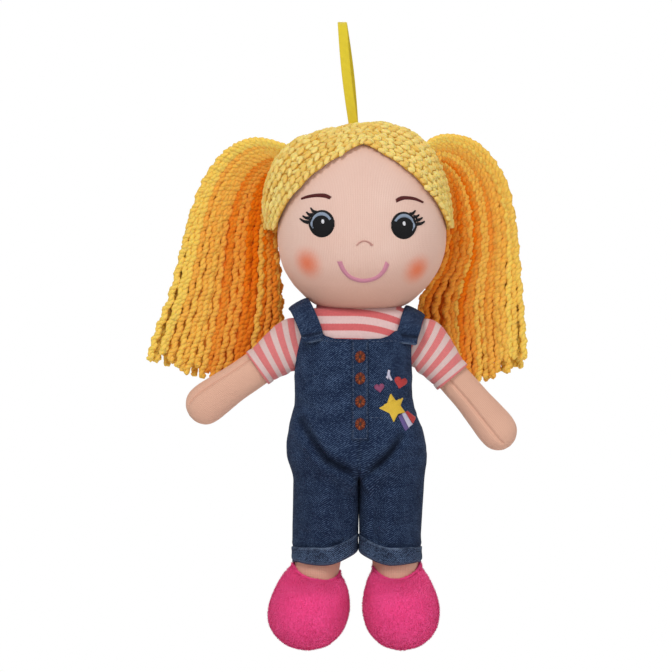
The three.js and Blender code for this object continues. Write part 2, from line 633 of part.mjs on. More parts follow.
// A trouser leg grown outwards or inwards, run on past its end where it serves as a cutter
function trouser(sign, growth, further = 0) {
  const levels = further ? [...trouserLevels, [trouserEnd - further, trouserEndHalf]] : trouserLevels;
  return slices(levels.map(([z, half]) => ({
    z, x: sign * legSpacing, half, depth: trouserHalfDepth, power: trouserPower })), legSegments, growth);
}
const rootShape = new THREE.Shape();
const frontCorner = Math.sqrt(hipRootRadius ** 2 / 2);
rootShape.moveTo(-trouserHalfDepth - fillet, trouserEnd - overrun);
rootShape.lineTo(-trouserHalfDepth - fillet, hip + frontCorner - fillet);
rootShape.lineTo(-hipForward - frontCorner, hip + frontCorner);
rootShape.absarc(-hipForward, hip, hipRootRadius, 0.75 * Math.PI, 0, true);
rootShape.lineTo(trouserHalfDepth + seam, hip);
rootShape.lineTo(trouserHalfDepth + seam, trouserEnd - overrun);
const legRoot = throughWidth(rootShape, 4 * torsoHalfWidth);
const thighHalf = trouserHalfWidth - denimThickness - seam;
const thighDepth = trouserHalfDepth - denimThickness - seam;
const legLevels = [
  // height, middle, half width, half depth, power
  [legTop, legSpacing, thighHalf, thighDepth, trouserPower],
  [crotch, legSpacing, thighHalf, thighDepth, trouserPower],
  [(crotch + trouserEnd) / 2, legSpacing,
    (thighHalf + ankleHalf) / 2, (thighDepth + ankleHalf) / 2, legPower],
  [trouserEnd + cuffHeight, kneeSpacing, ankleHalf, ankleHalf, roundPower],
  [trouserEnd, kneeSpacing, ankleHalf, ankleHalf, roundPower],
  [shoeTop - collarDepth, ankleSpacing, ankleHalf, ankleHalf, roundPower]];
const legRows = (sign) => legLevels.map(([z, middle, half, depth, power]) => ({
  z, x: sign * middle, half, depth, power }));
const leg = (sign, growth, segments = legSegments) => slices(legRows(sign), segments, growth);

// Shoe shares: height, half width, half depth, place forwards, place outwards
const shoeShares = [
  [1, 0.62, 0.5, 0, 0], [0.93, 0.66, 0.55, 0.1, 0.3], [0.83, 0.79, 0.72, 0.45, 0.45],
  [0.66, 0.93, 0.93, 0.85, 0.66], [0.48, 1, 1, 1, 0.86], [0.3, 0.96, 0.97, 1.03, 1],
  [0.15, 0.76, 0.8, 1, 1.03], [0.05, 0.46, 0.5, 0.95, 1], [0, 0, 0, 0.93, 1]];
const shoeRows = (sign) => shoeShares.map(([rise, half, deep, forward, out]) => ({
  z: shoeTop - (1 - rise) * shoeHeight, x: sign * (ankleSpacing + out * (shoeSpacing - ankleSpacing)),
  y: -forward * shoeForward, half: half * shoeHalfWidth, depth: deep * shoeHalfDepth }));
const shoe = (sign, growth, segments = legSegments) => slices(shoeRows(sign), segments, growth);
const soleLevel = shoeTop - shoeHeight + soleHeight;
const aboveSole = block([-far, -far, soleLevel + seam], [far, far, 0]);
const belowSole = block([-far, -far, soleLevel - far], [far, far, soleLevel]);
const ankleSpace = (sign) => leg(sign, seam);
const collarCut = throughWidth(outline([
  [ankleHalf, shoeTop], [-ankleHalf - plushThickness, shoeTop - collarDip],
  [-far, shoeTop - collarDip], [-far, shoeTop + far], [ankleHalf, shoeTop + far]]), 4 * torsoHalfWidth);
for (const { side, sign } of sides) {
  const tube = trouser(sign, 0).subtract(trouser(sign, -denimThickness, overrun));
  piece(`trouser_${side}`, tube.intersect(legRoot), finish.denim);
  const cuffBand = block([-far, -far, trouserEnd - seam], [far, far, trouserEnd + cuffHeight]);
  const around = trouser(sign, seam + cuffThickness, overrun).subtract(trouser(sign, seam, overrun));
  piece(`cuff_${side}`, around.intersect(cuffBand), finish.denim);
  piece(`leg_skin_${side}`, leg(sign, 0).subtract(leg(sign, -skinThickness)).intersect(legRoot), finish.skin);
  const fibre = leg(sign, -skinThickness - seam, legSegments / 2);
  piece(`leg_stuffing_${side}`, fibre.intersect(legRoot), finish.fibre);
  const plush = shoe(sign, 0).subtract(shoe(sign, -plushThickness)).subtract(ankleSpace(sign));
  piece(`shoe_upper_${side}`, plush.intersect(aboveSole).subtract(collarCut), finish.plush);
  piece(`shoe_sole_${side}`, plush.intersect(belowSole), finish.plush);
  const foot = shoe(sign, -plushThickness - seam, legSegments / 2).subtract(ankleSpace(sign));
  piece(`foot_stuffing_${side}`, foot.subtract(collarCut), finish.fibre);
}

export default object;
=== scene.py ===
# %% [markdown]
# # A rag doll with yarn ponytails and dungarees
# The doll is a stuffed cloth toy that hangs by a ribbon loop. Its construction is loaded first,
# as a fixed frame: every piece below is dressed over a solid of that frame and rides on one of
# its bodies. Sizes are written in millimetres, from the doll's own middle, and turned into
# metres at one place.

# %% Load the construction
import math
import random

import bmesh
import bpy
from mathutils import Matrix, Vector, noise
from mathutils.bvhtree import BVHTree


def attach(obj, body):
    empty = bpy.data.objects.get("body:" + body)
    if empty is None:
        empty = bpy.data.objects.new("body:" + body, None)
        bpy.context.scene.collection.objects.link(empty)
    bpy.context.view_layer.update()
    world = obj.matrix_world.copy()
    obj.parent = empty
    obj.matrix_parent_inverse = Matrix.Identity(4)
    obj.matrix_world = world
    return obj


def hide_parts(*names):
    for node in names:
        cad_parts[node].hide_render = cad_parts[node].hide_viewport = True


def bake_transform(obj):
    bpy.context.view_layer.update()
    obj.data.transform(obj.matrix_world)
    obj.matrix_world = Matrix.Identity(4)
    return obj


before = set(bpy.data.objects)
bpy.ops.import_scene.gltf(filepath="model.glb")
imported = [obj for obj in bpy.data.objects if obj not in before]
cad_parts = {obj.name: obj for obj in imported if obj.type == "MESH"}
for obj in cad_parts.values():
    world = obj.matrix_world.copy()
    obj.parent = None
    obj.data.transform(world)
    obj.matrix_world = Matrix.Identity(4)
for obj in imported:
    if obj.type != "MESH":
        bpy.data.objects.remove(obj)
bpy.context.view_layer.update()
mm = 0.001
doll_axis = 9.5  # the ribbon leans, so the doll's middle is this far to the right of the loop's
sides = {-1: "left", 1: "right"}  # as seen from the front, by the sign of x

# %% Places


def spot(x, y, z):
    """A point in mm from the doll's own middle, as metres in the object's frame."""
    return Vector(((x + doll_axis) * mm, y * mm, z * mm))


def in_mm(point):
    """The way back: a point in metres as mm from the doll's own middle."""
    return Vector((point.x / mm - doll_axis, point.y / mm, point.z / mm))


# %% [markdown]
# ## Camera, light and backdrop
# The doll is seen straight on from a distance, so the lens is long and nothing tapers. Soft
# lamps and a pale world light it at a plain level. The backdrop is white only for rays that
# come from the camera, a mirror or glass, so no extra light falls on the doll.

# %% Camera
view_width = 383.0  # mm across the picture at the doll
view_middle = (-3.6, -179.0)
camera_distance = 3000.0
sensor_width = 36


def add_object(name, data):
    made = bpy.data.objects.new(name, data)
    bpy.context.collection.objects.link(made)
    return made


camera_data = bpy.data.cameras.new("camera")
camera_data.sensor_width = sensor_width
camera_data.lens = sensor_width * camera_distance / view_width
camera_data.clip_start, camera_data.clip_end = 0.1, 60
camera = add_object("camera", camera_data)
camera.location = (view_middle[0] * mm, -camera_distance * mm, view_middle[1] * mm)
camera.rotation_euler = (math.radians(90), 0, 0)
bpy.context.scene.camera = camera
bpy.context.scene.view_settings.view_transform = "Standard"
print("lens", round(camera_data.lens), "mm")

# %% Lamps
lit_middle = Vector((0, 0, -0.18))


def soft_lamp(name, place, size, watts):
    data = bpy.data.lights.new(name, "AREA")
    data.size, data.energy = size, watts
    lamp = add_object(name, data)
    lamp.location = place
    lamp.rotation_euler = (lit_middle - Vector(place)).to_track_quat("-Z", "Y").to_euler()


soft_lamp("key_lamp", (-0.45, -1.1, 0.85), 0.5, 10.5)
soft_lamp("fill_lamp", (0.8, -1.2, 0.1), 1.0, 4.6)
soft_lamp("back_lamp", (0.3, 1.3, 0.6), 1.0, 6.0)
print("lamps", len(bpy.data.lights))

# %% World
light_strength, seen_strength = 0.5, 1.0


def white_for_camera(tree):
    """A value that is 1 for rays from the camera, a mirror or glass, and 0 for lighting rays."""
    path = tree.nodes.new("ShaderNodeLightPath")
    total = path.outputs["Is Camera Ray"]
    for ray in ("Is Glossy Ray", "Is Transmission Ray"):
        step = tree.nodes.new("ShaderNodeMath")
        step.operation = "MAXIMUM"
        tree.links.new(total, step.inputs[0])
        tree.links.new(path.outputs[ray], step.inputs[1])
        total = step.outputs[0]
    return total


world = bpy.data.worlds.new("studio")
bpy.context.scene.world = world
world.use_nodes = True
world_tree = world.node_tree
world_tree.nodes.clear()
blend = world_tree.nodes.new("ShaderNodeMixShader")
world_tree.links.new(white_for_camera(world_tree), blend.inputs[0])
for place, strength in enumerate((light_strength, seen_strength), 1):
    backdrop = world_tree.nodes.new("ShaderNodeBackground")
    backdrop.inputs["Color"].default_value = (1, 1, 1, 1)
    backdrop.inputs["Strength"].default_value = strength
    world_tree.links.new(backdrop.outputs[0], blend.inputs[place])
world_out = world_tree.nodes.new("ShaderNodeOutputWorld")
world_tree.links.new(blend.outputs[0], world_out.inputs["Surface"])

# %% Floor
floor_radius, floor_level, floor_corners = 0.7, -0.425, 48
floor_white, floor_roughness = (0.93, 0.93, 0.93, 1), 0.9

floor_ring = []
for i in range(floor_corners):
    turn = math.tau * i / floor_corners
    floor_ring.append((floor_radius * math.cos(turn), floor_radius * math.sin(turn), floor_level))
floor_mesh = bpy.data.meshes.new("floor")
floor_mesh.from_pydata(floor_ring, [], [list(range(floor_corners))])
floor = add_object("floor", floor_mesh)
floor_finish = bpy.data.materials.new("floor_finish")
floor_finish.use_nodes = True
floor_shader = floor_finish.node_tree.nodes["Principled BSDF"]
floor_shader.inputs["Base Color"].default_value = floor_white
floor_shader.inputs["Roughness"].default_value = floor_roughness
floor_mesh.materials.append(floor_finish)
print("floor at", floor_level)

# %% [markdown]
# ## Finishes
# Cloth looks like cloth because of its weave, so three effects are built once as node groups
# and shared: knitted columns, twill and a soft pile. Each group puts out a height and masks
# only. The colours, roughness and sheen stay on each material's own shader.

# %% Colours


def srgb(red, green, blue):
    """A colour as a picture program names it, 0 to 255, as the linear values of a shader."""
    out = []
    for part in (red, green, blue):
        share = part / 255
        out.append(share / 12.92 if share <= 0.04045 else ((share + 0.055) / 1.055) ** 2.4)
    return (*out, 1.0)


def scaled(colour, share):
    """A colour made lighter or darker, in whole steps up to 255."""
    return tuple(min(255, int(c * share)) for c in colour)


# %% Node helpers


class Graph:
    """A short way to write shader nodes: each method adds one node and returns its output."""

    def __init__(self, tree):
        self.tree = tree

    def put(self, socket, value):
        if isinstance(value, bpy.types.NodeSocket):
            self.tree.links.new(value, socket)
        elif value is not None:
            socket.default_value = value

    def math(self, operation, first, second=None, third=None):
        node = self.tree.nodes.new("ShaderNodeMath")
        node.operation = operation
        for socket, value in zip(node.inputs, (first, second, third)):
            self.put(socket, value)
        return node.outputs[0]

    def plus(self, first, second):
        return self.math("ADD", first, second)

    def minus(self, first, second):
        return self.math("SUBTRACT", first, second)

    def times(self, first, second, added=None):
        return self.math("MULTIPLY" if added is None else "MULTIPLY_ADD", first, second, added)

    def over(self, first, second):
        return self.math("DIVIDE", first, second)

    def noise(self, vector, scale, detail=2.0):
        node = self.tree.nodes.new("ShaderNodeTexNoise")
        self.put(node.inputs["Vector"], vector)
        self.put(node.inputs["Scale"], scale)
        node.inputs["Detail"].default_value = detail
        return node.outputs["Fac"]

    def split(self, vector):
        node = self.tree.nodes.new("ShaderNodeSeparateXYZ")
        self.put(node.inputs[0], vector)
        return node.outputs

    def mix(self, share, first, second):
        node = self.tree.nodes.new("ShaderNodeMix")
        node.data_type = "RGBA"
        self.put(node.inputs[0], share)
        self.put(node.inputs[6], first)
        self.put(node.inputs[7], second)
        return node.outputs[2]

    def ramp(self, value, low, high):
        node = self.tree.nodes.new("ShaderNodeMapRange")
        node.interpolation_type = "SMOOTHSTEP"
        for label, given in (("Value", value), ("From Min", low), ("From Max", high)):
            self.put(node.inputs[label], given)
        return node.outputs["Result"]

    def place(self):
        return self.tree.nodes.new("ShaderNodeTexCoord").outputs["Object"]

    def cloth(self):
        return self.tree.nodes.new("ShaderNodeTexCoord").outputs["UV"]

    def attribute(self, name):
        node = self.tree.nodes.new("ShaderNodeAttribute")
        node.attribute_name = name
        return node.outputs["Fac"]

    def group(self, shared, **values):
        node = self.tree.nodes.new("ShaderNodeGroup")
        node.node_tree = shared
        for name, value in values.items():
            self.put(node.inputs[name], value)
        return node.outputs


# %% Shared effects


def shared_effect(name, inputs, outputs, build):
    """A shader node group with named inputs and outputs, filled in by build."""
    tree = bpy.data.node_groups.new(name, "ShaderNodeTree")
    tree.interface.new_socket("Vector", in_out="INPUT", socket_type="NodeSocketVector")
    for label, value in inputs.items():
        socket = tree.interface.new_socket(label, in_out="INPUT", socket_type="NodeSocketFloat")
        socket.default_value = value
    for label in outputs:
        tree.interface.new_socket(label, in_out="OUTPUT", socket_type="NodeSocketFloat")
    enter = tree.nodes.new("NodeGroupInput")
    leave = tree.nodes.new("NodeGroupOutput")
    for label, value in build(Graph(tree), enter.outputs).items():
        tree.links.new(value, leave.inputs[label])
    return tree


# %% Knit, twill and pile


def build_knit(graph, given):
    """Columns of small V stitches: across is the column, along the course."""
    across, along, _ = graph.split(given["Vector"])
    column = graph.math("FRACT", graph.over(across, given["Pitch"]))
    side = graph.math("ABSOLUTE", graph.minus(column, 0.5))
    ridge = graph.minus(1.0, graph.times(side, 2.0))
    course = graph.plus(graph.over(along, given["Pitch"]), side)
    wave = graph.math("SINE", graph.times(course, math.tau))
    return {"Height": graph.times(wave, 0.22, ridge), "Ridge": ridge}


def build_twill(graph, given):
    """Slanting ribs of short pale threads, as on denim."""
    across, along, _ = graph.split(given["Vector"])
    up_slant, down_slant = graph.plus(across, along), graph.minus(across, along)
    rib = graph.math("SINE", graph.times(graph.over(down_slant, given["Pitch"]), math.tau))
    stretched = graph.tree.nodes.new("ShaderNodeCombineXYZ")
    graph.put(stretched.inputs[0], graph.times(up_slant, 0.4))
    graph.put(stretched.inputs[1], down_slant)
    fleck = graph.noise(stretched.outputs[0], given["Fleck"], 1.0)
    patch = graph.noise(given["Vector"], 130.0, 3.0)
    uneven = graph.times(rib, 0.13, graph.times(patch, 0.35, fleck))
    return {"Height": graph.times(fleck, 0.8, rib), "Pale": graph.ramp(uneven, 0.62, 1.0), "Patch": patch}


def build_pile(graph, given):
    """Short soft hair: a fine speckle over slow waves."""
    fine = graph.noise(given["Vector"], given["Fine"], 4.0)
    slow = graph.noise(given["Vector"], given["Slow"], 2.0)
    return {"Height": graph.times(slow, 0.6, fine), "Fine": fine, "Slow": slow}


knit = shared_effect("knit", {"Pitch": 0.0009}, ["Height", "Ridge"], build_knit)
twill = shared_effect("twill", {"Pitch": 0.0008, "Fleck": 1500.0}, ["Height", "Pale", "Patch"], build_twill)
pile = shared_effect("pile", {"Fine": 900.0, "Slow": 60.0}, ["Height", "Fine", "Slow"], build_pile)
print("effects", [tree.name for tree in (knit, twill, pile)])

# %% Finishes in general
cloth_roughness = 0.85
knit_depth = 0.00012
# painted shade: the face turns darker towards the chin, where less light falls
chin_shade_from, chin_shade_to, chin_shade_share = -0.128, -0.164, 0.78  # levels in the object's frame
stripe_drop_from, stripe_drop = 0.006, 7.5  # the body's stripes droop beyond this x, with its square
neckline_level = -0.1640


def finish(name, roughness, sheen=0.0, tint=(1, 1, 1, 1), specular=0.3):
    """A new material: its node graph and its Principled shader."""
    material = bpy.data.materials.new(name)
    material.use_nodes = True
    shader = material.node_tree.nodes["Principled BSDF"]
    values = {"Roughness": roughness, "Specular IOR Level": specular, "Sheen Weight": sheen,
              "Sheen Roughness": 0.5, "Sheen Tint": tint}
    for label, value in values.items():
        shader.inputs[label].default_value = value
    return material, Graph(material.node_tree), shader


def wear(graph, shader, colour, height, depth):
    """Gives a shader its colour and its relief, of a depth in metres."""
    graph.put(shader.inputs["Base Color"], colour)
    bump = graph.tree.nodes.new("ShaderNodeBump")
    bump.inputs["Strength"].default_value = 1.0
    bump.inputs["Distance"].default_value = depth
    graph.put(bump.inputs["Height"], height)
    graph.put(shader.inputs["Normal"], bump.outputs[0])


# %% Skin and striped jersey


def skin_finish(name, light, dark, blushes=()):
    """Peach jersey: fine upright columns, a faint mottle and, on the face, rouged cheeks and painted shade
    towards the chin.
    """
    material, graph, shader = finish(name, cloth_roughness, 0.25, srgb(255, 225, 205))
    stitches = graph.group(knit, Vector=graph.cloth(), Pitch=0.00105)
    soft = graph.group(pile, Vector=graph.place(), Fine=700.0, Slow=30.0)
    shade = graph.times(stitches["Ridge"], 0.45, graph.times(soft["Slow"], 0.65))
    colour = graph.mix(shade, srgb(*dark), srgb(*light))
    if blushes:
        # painted shade under the chin
        _, _, height = graph.split(graph.place())
        under = graph.times(graph.ramp(height, chin_shade_from, chin_shade_to), chin_shade_share)
        colour = graph.mix(under, colour, srgb(206, 152, 131))
    for centre, radius, rouge in blushes:
        away = graph.tree.nodes.new("ShaderNodeVectorMath")
        away.operation = "DISTANCE"
        graph.put(away.inputs[0], graph.place())
        away.inputs[1].default_value = centre
        uneven = graph.times(soft["Fine"], 0.0022, away.outputs["Value"])
        mask = graph.ramp(uneven, radius * 1.3, radius * 0.12)
        colour = graph.mix(graph.times(mask, 0.95), colour, srgb(*rouge))
    wear(graph, shader, colour, stitches["Height"], knit_depth)
    return material


def striped_finish(name, pitch, start, coral, pale, across_body):
    """Striped jersey: two colours in turn, down the body or along a sleeve's cloth, over the knit."""
    material, graph, shader = finish(name, cloth_roughness, 0.2)
    if across_body:
        aside, _, height = graph.split(graph.place())
        beyond = graph.math("MAXIMUM", graph.minus(aside, stripe_drop_from), 0.0)
        droop = graph.times(graph.times(beyond, beyond), stripe_drop)
        along = graph.plus(graph.math("MINIMUM", height, neckline_level), droop)
    else:
        _, along, _ = graph.split(graph.cloth())
    coral_share = 0.5 if across_body else 0.57
    phase = graph.math("FRACT", graph.over(graph.plus(along, start), pitch))
    stitches = graph.group(knit, Vector=graph.cloth(), Pitch=0.0009)
    wobble = graph.times(stitches["Ridge"], 0.05, phase)
    band = graph.minus(graph.ramp(wobble, 0.02, 0.07), graph.ramp(wobble, coral_share, coral_share + 0.05))
    soft = graph.group(pile, Vector=graph.place(), Fine=800.0, Slow=70.0)
    first = graph.mix(soft["Fine"], srgb(*coral), srgb(*scaled(coral, 1.16)))
    second = graph.mix(soft["Fine"], srgb(*pale), srgb(*scaled(pale, 1.1)))
    wear(graph, shader, graph.mix(band, second, first), stitches["Height"], knit_depth)
    return material


skin = skin_finish("skin", (226, 180, 156), (205, 156, 134))
jersey_body = striped_finish("jersey_body", 0.0082, 0.16786, (188, 90, 92), (208, 176, 174), True)
jersey_sleeve = striped_finish("jersey_sleeve", 0.0085, 0.0, (198, 108, 108), (204, 178, 174), False)

# %% Denim and yarn


def denim_finish(name, dark, light, pale_share):
    """Twill: pale flecks over an uneven blue, worn at the edges with a painted highlight on the cuffs' upper
    fold, and painted shade in the folds.
    """
    material, graph, shader = finish(name, 0.9, 0.03, srgb(150, 170, 200), 0.15)
    weave = graph.group(twill, Vector=graph.cloth(), Pitch=0.0012, Fleck=1700.0)
    base = graph.mix(weave["Patch"], srgb(*dark), srgb(*light))
    woven = graph.mix(graph.times(weave["Pale"], pale_share), base, srgb(96, 119, 152))
    # wear at the edges; on the cuffs it is also a painted highlight along the upper fold
    wear_and_highlight = graph.times(graph.times(graph.attribute("wear"), graph.ramp(weave["Patch"], 0.3, 0.65)), 0.55)
    edged = graph.mix(wear_and_highlight, woven, srgb(118, 134, 158))
    # painted shade: darker in the folds and beside raised bands
    folded = graph.mix(graph.times(graph.attribute("crease"), 0.75), edged, srgb(10, 16, 32))
    wear(graph, shader, folded, weave["Height"], 0.00014)
    return material


def yarn_finish(name, deep, bright, sheen):
    """Acrylic yarn: the colour follows each strand's tint, which on the ponytails is painted light and shade,
    with fine fibres in relief.
    """
    material, graph, shader = finish(name, cloth_roughness, sheen, srgb(255, 226, 130), 0.1)
    shader.inputs["Subsurface Weight"].default_value = 0.35
    shader.inputs["Subsurface Radius"].default_value = (1.0, 0.6, 0.15)
    shader.inputs["Subsurface Scale"].default_value = 0.0022
    fibres = graph.group(pile, Vector=graph.place(), Fine=1500.0, Slow=120.0)
    tint = graph.times(fibres["Fine"], 0.35, graph.minus(graph.attribute("tint"), 0.17))
    wear(graph, shader, graph.mix(tint, srgb(*deep), srgb(*bright)), fibres["Height"], 0.0003)
    return material


# %% Plush, thread and ribbon


def plush_finish(name, deep, bright):
    """Plush cloth: two pinks that vary with the pile."""
    material, graph, shader = finish(name, cloth_roughness, 0.5, srgb(255, 130, 175))
    hairs = graph.group(pile, Vector=graph.place(), Fine=1100.0, Slow=75.0)
    shade = graph.times(hairs["Fine"], 0.6, graph.times(hairs["Slow"], 0.45))
    wear(graph, shader, graph.mix(shade, srgb(*deep), srgb(*bright)), hairs["Height"], 0.0007)
    return material


def thread_finish(name, colour, roughness=0.5, gloss=0.45, sheen=0.1):
    """Rayon embroidery thread: a plain colour with a slight streak and some gloss."""
    material, graph, shader = finish(name, roughness, sheen, specular=gloss)
    streak = graph.group(pile, Vector=graph.place(), Fine=2500.0, Slow=300.0)
    streaked = graph.mix(streak["Fine"], srgb(*scaled(colour, 0.78)), srgb(*colour))
    wear(graph, shader, streaked, streak["Fine"], 0.00008)
    return material


def ribbon_finish(name, colour):
    """Woven ribbon: close ribs across it."""
    material, graph, shader = finish(name, 0.55, 0.15, specular=0.4)
    _, along, _ = graph.split(graph.cloth())
    rib = graph.math("SINE", graph.times(along, math.tau / 0.00065))
    ribbed = graph.mix(graph.ramp(rib, -1.0, 0.8), srgb(*scaled(colour, 0.84)), srgb(*colour))
    wear(graph, shader, ribbed, rib, 0.00008)
    return material


# %% The doll's own finishes
denim = denim_finish("denim", (10, 24, 50), (24, 42, 74), 0.66)
denim_reverse = denim_finish("denim_reverse", (17, 26, 45), (30, 41, 64), 1.2)
ribbon_cloth = ribbon_finish("ribbon_cloth", (240, 214, 30))
cap_yarn = yarn_finish("cap_yarn", (222, 168, 62), (250, 226, 142), 0.25)
tail_yarn = yarn_finish("tail_yarn", (236, 112, 0), (250, 205, 96), 0.12)
plush = plush_finish("plush", (232, 36, 112), (255, 92, 162))
print("materials", len(bpy.data.materials))

# %% [markdown]
# ## Mesh helpers
# Most pieces are rings of points lofted along a limb. A short table gives each form's swell as
# shares of its named sizes, and a smooth curve is run through the rows. Each corner keeps its
# place on the cloth in metres as its UV, so every weave has the same scale on every piece.

# %% Shares, tables and lengths


def clamp(value, low=0.0, high=1.0):
    return max(low, min(high, value))


def ease(share):
    """A share from 0 to 1 with a slow start and end."""
    return share * share * (3 - 2 * share)


def bell(away, width):
    """1 at a place, and less on both sides of it."""
    return math.exp(-((away / width) ** 2))


def look_up(rows, place, beyond=None, slope=float):
    """The value at a place in a table of (place, value) rows, read between its rows."""
    for (a, first), (b, second) in zip(rows, rows[1:]):
        if min(a, b) <= place <= max(a, b):
            return first + (second - first) * slope((place - a) / (b - a))
    return rows[-1][1] if beyond is None else beyond


def running_lengths(points):
    """How far along a line each of its points lies."""
    lengths = [0.0]
    for a, b in zip(points, points[1:]):
        lengths.append(lengths[-1] + math.dist(a, b))
    return lengths


def stretch_at(lengths, goal):
    """The stretch of a line in which a length along it lies, and the share of it that is gone."""
    at = 0
    while at < len(lengths) - 2 and lengths[at + 1] < goal:
        at += 1
    return at, (goal - lengths[at]) / max(lengths[at + 1] - lengths[at], 1e-9)


# %% Lofts
merge_distance = 0.000004


def smooth_rows(rows, steps):
    """A Catmull-Rom curve through rows of numbers, with steps between each two."""
    out = []
    for i in range(len(rows) - 1):
        before, start, end, after = (rows[min(max(i + k, 0), len(rows) - 1)] for k in (-1, 0, 1, 2))
        for k in range(steps):
            t = k / steps
            out.append([
                0.5 * (2 * b + (c - a) * t + (2 * a - 5 * b + 4 * c - d) * t * t
                       + (3 * b - a - 3 * c + d) * t ** 3)
                for a, b, c, d in zip(before, start, end, after)
            ])
    out.append(list(rows[-1]))
    return out


def swells(rows, steps):
    """A smooth curve through rows whose swells, all but the first number, never fall below 0."""
    return [(row[0], *(max(swell, 0) for swell in row[1:])) for row in smooth_rows(rows, steps)]


def oval(turn, half, depth, power):
    """A point of a rounded section: an ellipse at power 2, squarer above it."""
    c, s = math.cos(turn), math.sin(turn)
    share = 2 / power
    return half * math.copysign(abs(c) ** share, c), depth * math.copysign(abs(s) ** share, s)


def rings_of(rows, columns, place):
    """The rings of a loft: place gives a point for a turn in radians and the numbers of a row."""
    return [[place(math.tau * j / columns, *row) for j in range(columns)] for row in rows]


def capped(rings, first, last):
    """The rings of a tube with both ends drawn in to a point."""
    return [[first] * len(rings[0]), *rings, [last] * len(rings[0])]


def neighbours(line, i):
    """The direction of a line at one of its points, from the points beside it."""
    return (Vector(line[min(i + 1, len(line) - 1)]) - Vector(line[max(i - 1, 0)])).normalized()


# %% Meshes from rings


def close_mesh(bm, mesh):
    """Merges points that meet, turns the faces outward and ends the editing of a mesh."""
    bmesh.ops.remove_doubles(bm, verts=bm.verts, dist=merge_distance)
    bmesh.ops.recalc_face_normals(bm, faces=bm.faces)
    bm.to_mesh(mesh)
    bm.free()


def grid_mesh(name, rings, closed=True):
    """A quad mesh through rings of points, with UVs in metres."""
    count = len(rings[0])
    girths = [running_lengths([*ring, ring[0]] if closed else ring) for ring in rings]
    around = max(girths, key=lambda girth: girth[-1])
    along = [0.0]
    for first, second in zip(rings, rings[1:]):
        along.append(along[-1] + max((b - a).length for a, b in zip(first, second)))
    bm = bmesh.new()
    verts = [bm.verts.new(p) for ring in rings for p in ring]
    uv = bm.loops.layers.uv.new("cloth")
    for i in range(len(rings) - 1):
        for j in range(count if closed else count - 1):
            k = (j + 1) % count
            face = bm.faces.new((verts[i * count + j], verts[i * count + k],
                                 verts[(i + 1) * count + k], verts[(i + 1) * count + j]))
            corners = ((j, i), (j + 1, i), (j + 1, i + 1), (j, i + 1))
            for loop, (across, row) in zip(face.loops, corners):
                loop[uv].uv = (around[across], along[row])
            face.smooth = True
    mesh = bpy.data.meshes.new(name)
    close_mesh(bm, mesh)
    return mesh


# %% Pieces
print_width = 22


def piece(name, mesh, *materials):
    """A mesh as an object at the origin, with its finishes."""
    made = add_object(name, mesh)
    for material in materials:
        made.data.materials.append(material)
    return made


def dress(made, slot_name, body, *nodes, fill=None):
    """Hides the nodes a piece stands for and hangs it on the body it rides on; its slot and how full it is
    stuffed are not used.
    """
    if nodes:
        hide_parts(*nodes)
    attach(made, body)
    print(made.name.ljust(print_width), len(made.data.polygons), "faces")


# %% Walls, smoothing and joining


def thicken(made, wall, offset=-1):
    shell = made.modifiers.new("wall", "SOLIDIFY")
    shell.thickness = wall * mm
    shell.offset = offset


def soften(made):
    smooth = made.modifiers.new("smooth", "SUBSURF")
    smooth.levels = smooth.render_levels = 1


def settle(made):
    """Turns what the modifiers make into the piece's own mesh, and removes them."""
    graph = bpy.context.evaluated_depsgraph_get()
    mesh = bpy.data.meshes.new_from_object(made.evaluated_get(graph))
    made.modifiers.clear()
    old = made.data
    made.data = mesh
    mesh.name = made.name
    bpy.data.meshes.remove(old)
    return made


def join(name, *parts):
    """Several plain meshes as one piece: each keeps its own finish."""
    with bpy.context.temp_override(active_object=parts[0], selected_editable_objects=list(parts)):
        bpy.ops.object.join()
    parts[0].name = name
    return parts[0]


def keep_values(mesh, label, values):
    """A value for each point of a mesh, for a finish or a tree to read."""
    mesh.attributes.new(label, "FLOAT", "POINT").data.foreach_set("value", values)


def paint(mesh, label, value_of):
    keep_values(mesh, label, [value_of(v.co) for v in mesh.vertices])


def surface_of(*objects):
    """A tree for ray casts on one or more pieces, in metres."""
    points, faces = [], []
    for made in objects:
        first = len(points)
        points += [v.co.copy() for v in made.data.vertices]
        faces += [[first + i for i in f.vertices] for f in made.data.polygons]
    return BVHTree.FromPolygons(points, faces)


# %% [markdown]
# ## Yarn and thread
# Yarn, stitches and embroidery all follow paths, so Geometry Nodes make them. One tree turns
# edges into round threads. Another twists two plies round each path, which gives chunky yarn
# its bumps. A third sets one small lump on each point, for the knitted rows of the wig. The
# result is converted to a plain mesh, because the export drops instances and live trees.

# %% Tree helpers


def new_tree(name, inputs):
    """An empty tree: a number, a whole number or a size as the value of an input sets its kind."""
    tree = bpy.data.node_groups.new(name, "GeometryNodeTree")
    tree.interface.new_socket("Geometry", in_out="INPUT", socket_type="NodeSocketGeometry")
    kinds = {float: "NodeSocketFloat", int: "NodeSocketInt", tuple: "NodeSocketVector"}
    for label, value in inputs.items():
        socket = tree.interface.new_socket(label, in_out="INPUT", socket_type=kinds[type(value)])
        socket.default_value = value
    tree.interface.new_socket("Material", in_out="INPUT", socket_type="NodeSocketMaterial")
    tree.interface.new_socket("Geometry", in_out="OUTPUT", socket_type="NodeSocketGeometry")
    return tree, tree.nodes.new("NodeGroupInput").outputs, tree.nodes.new("NodeGroupOutput")


def node(tree, kind, links=None, **settings):
    made = tree.nodes.new(kind)
    for key, value in settings.items():
        setattr(made, key, value)
    for key, value in (links or {}).items():
        if isinstance(value, bpy.types.NodeSocket):
            tree.links.new(value, made.inputs[key])
        else:
            made.inputs[key].default_value = value
    return made


def calc(tree, operation, *values):
    """One step of sums with numbers."""
    return node(tree, "ShaderNodeMath", dict(enumerate(values)), operation=operation).outputs[0]


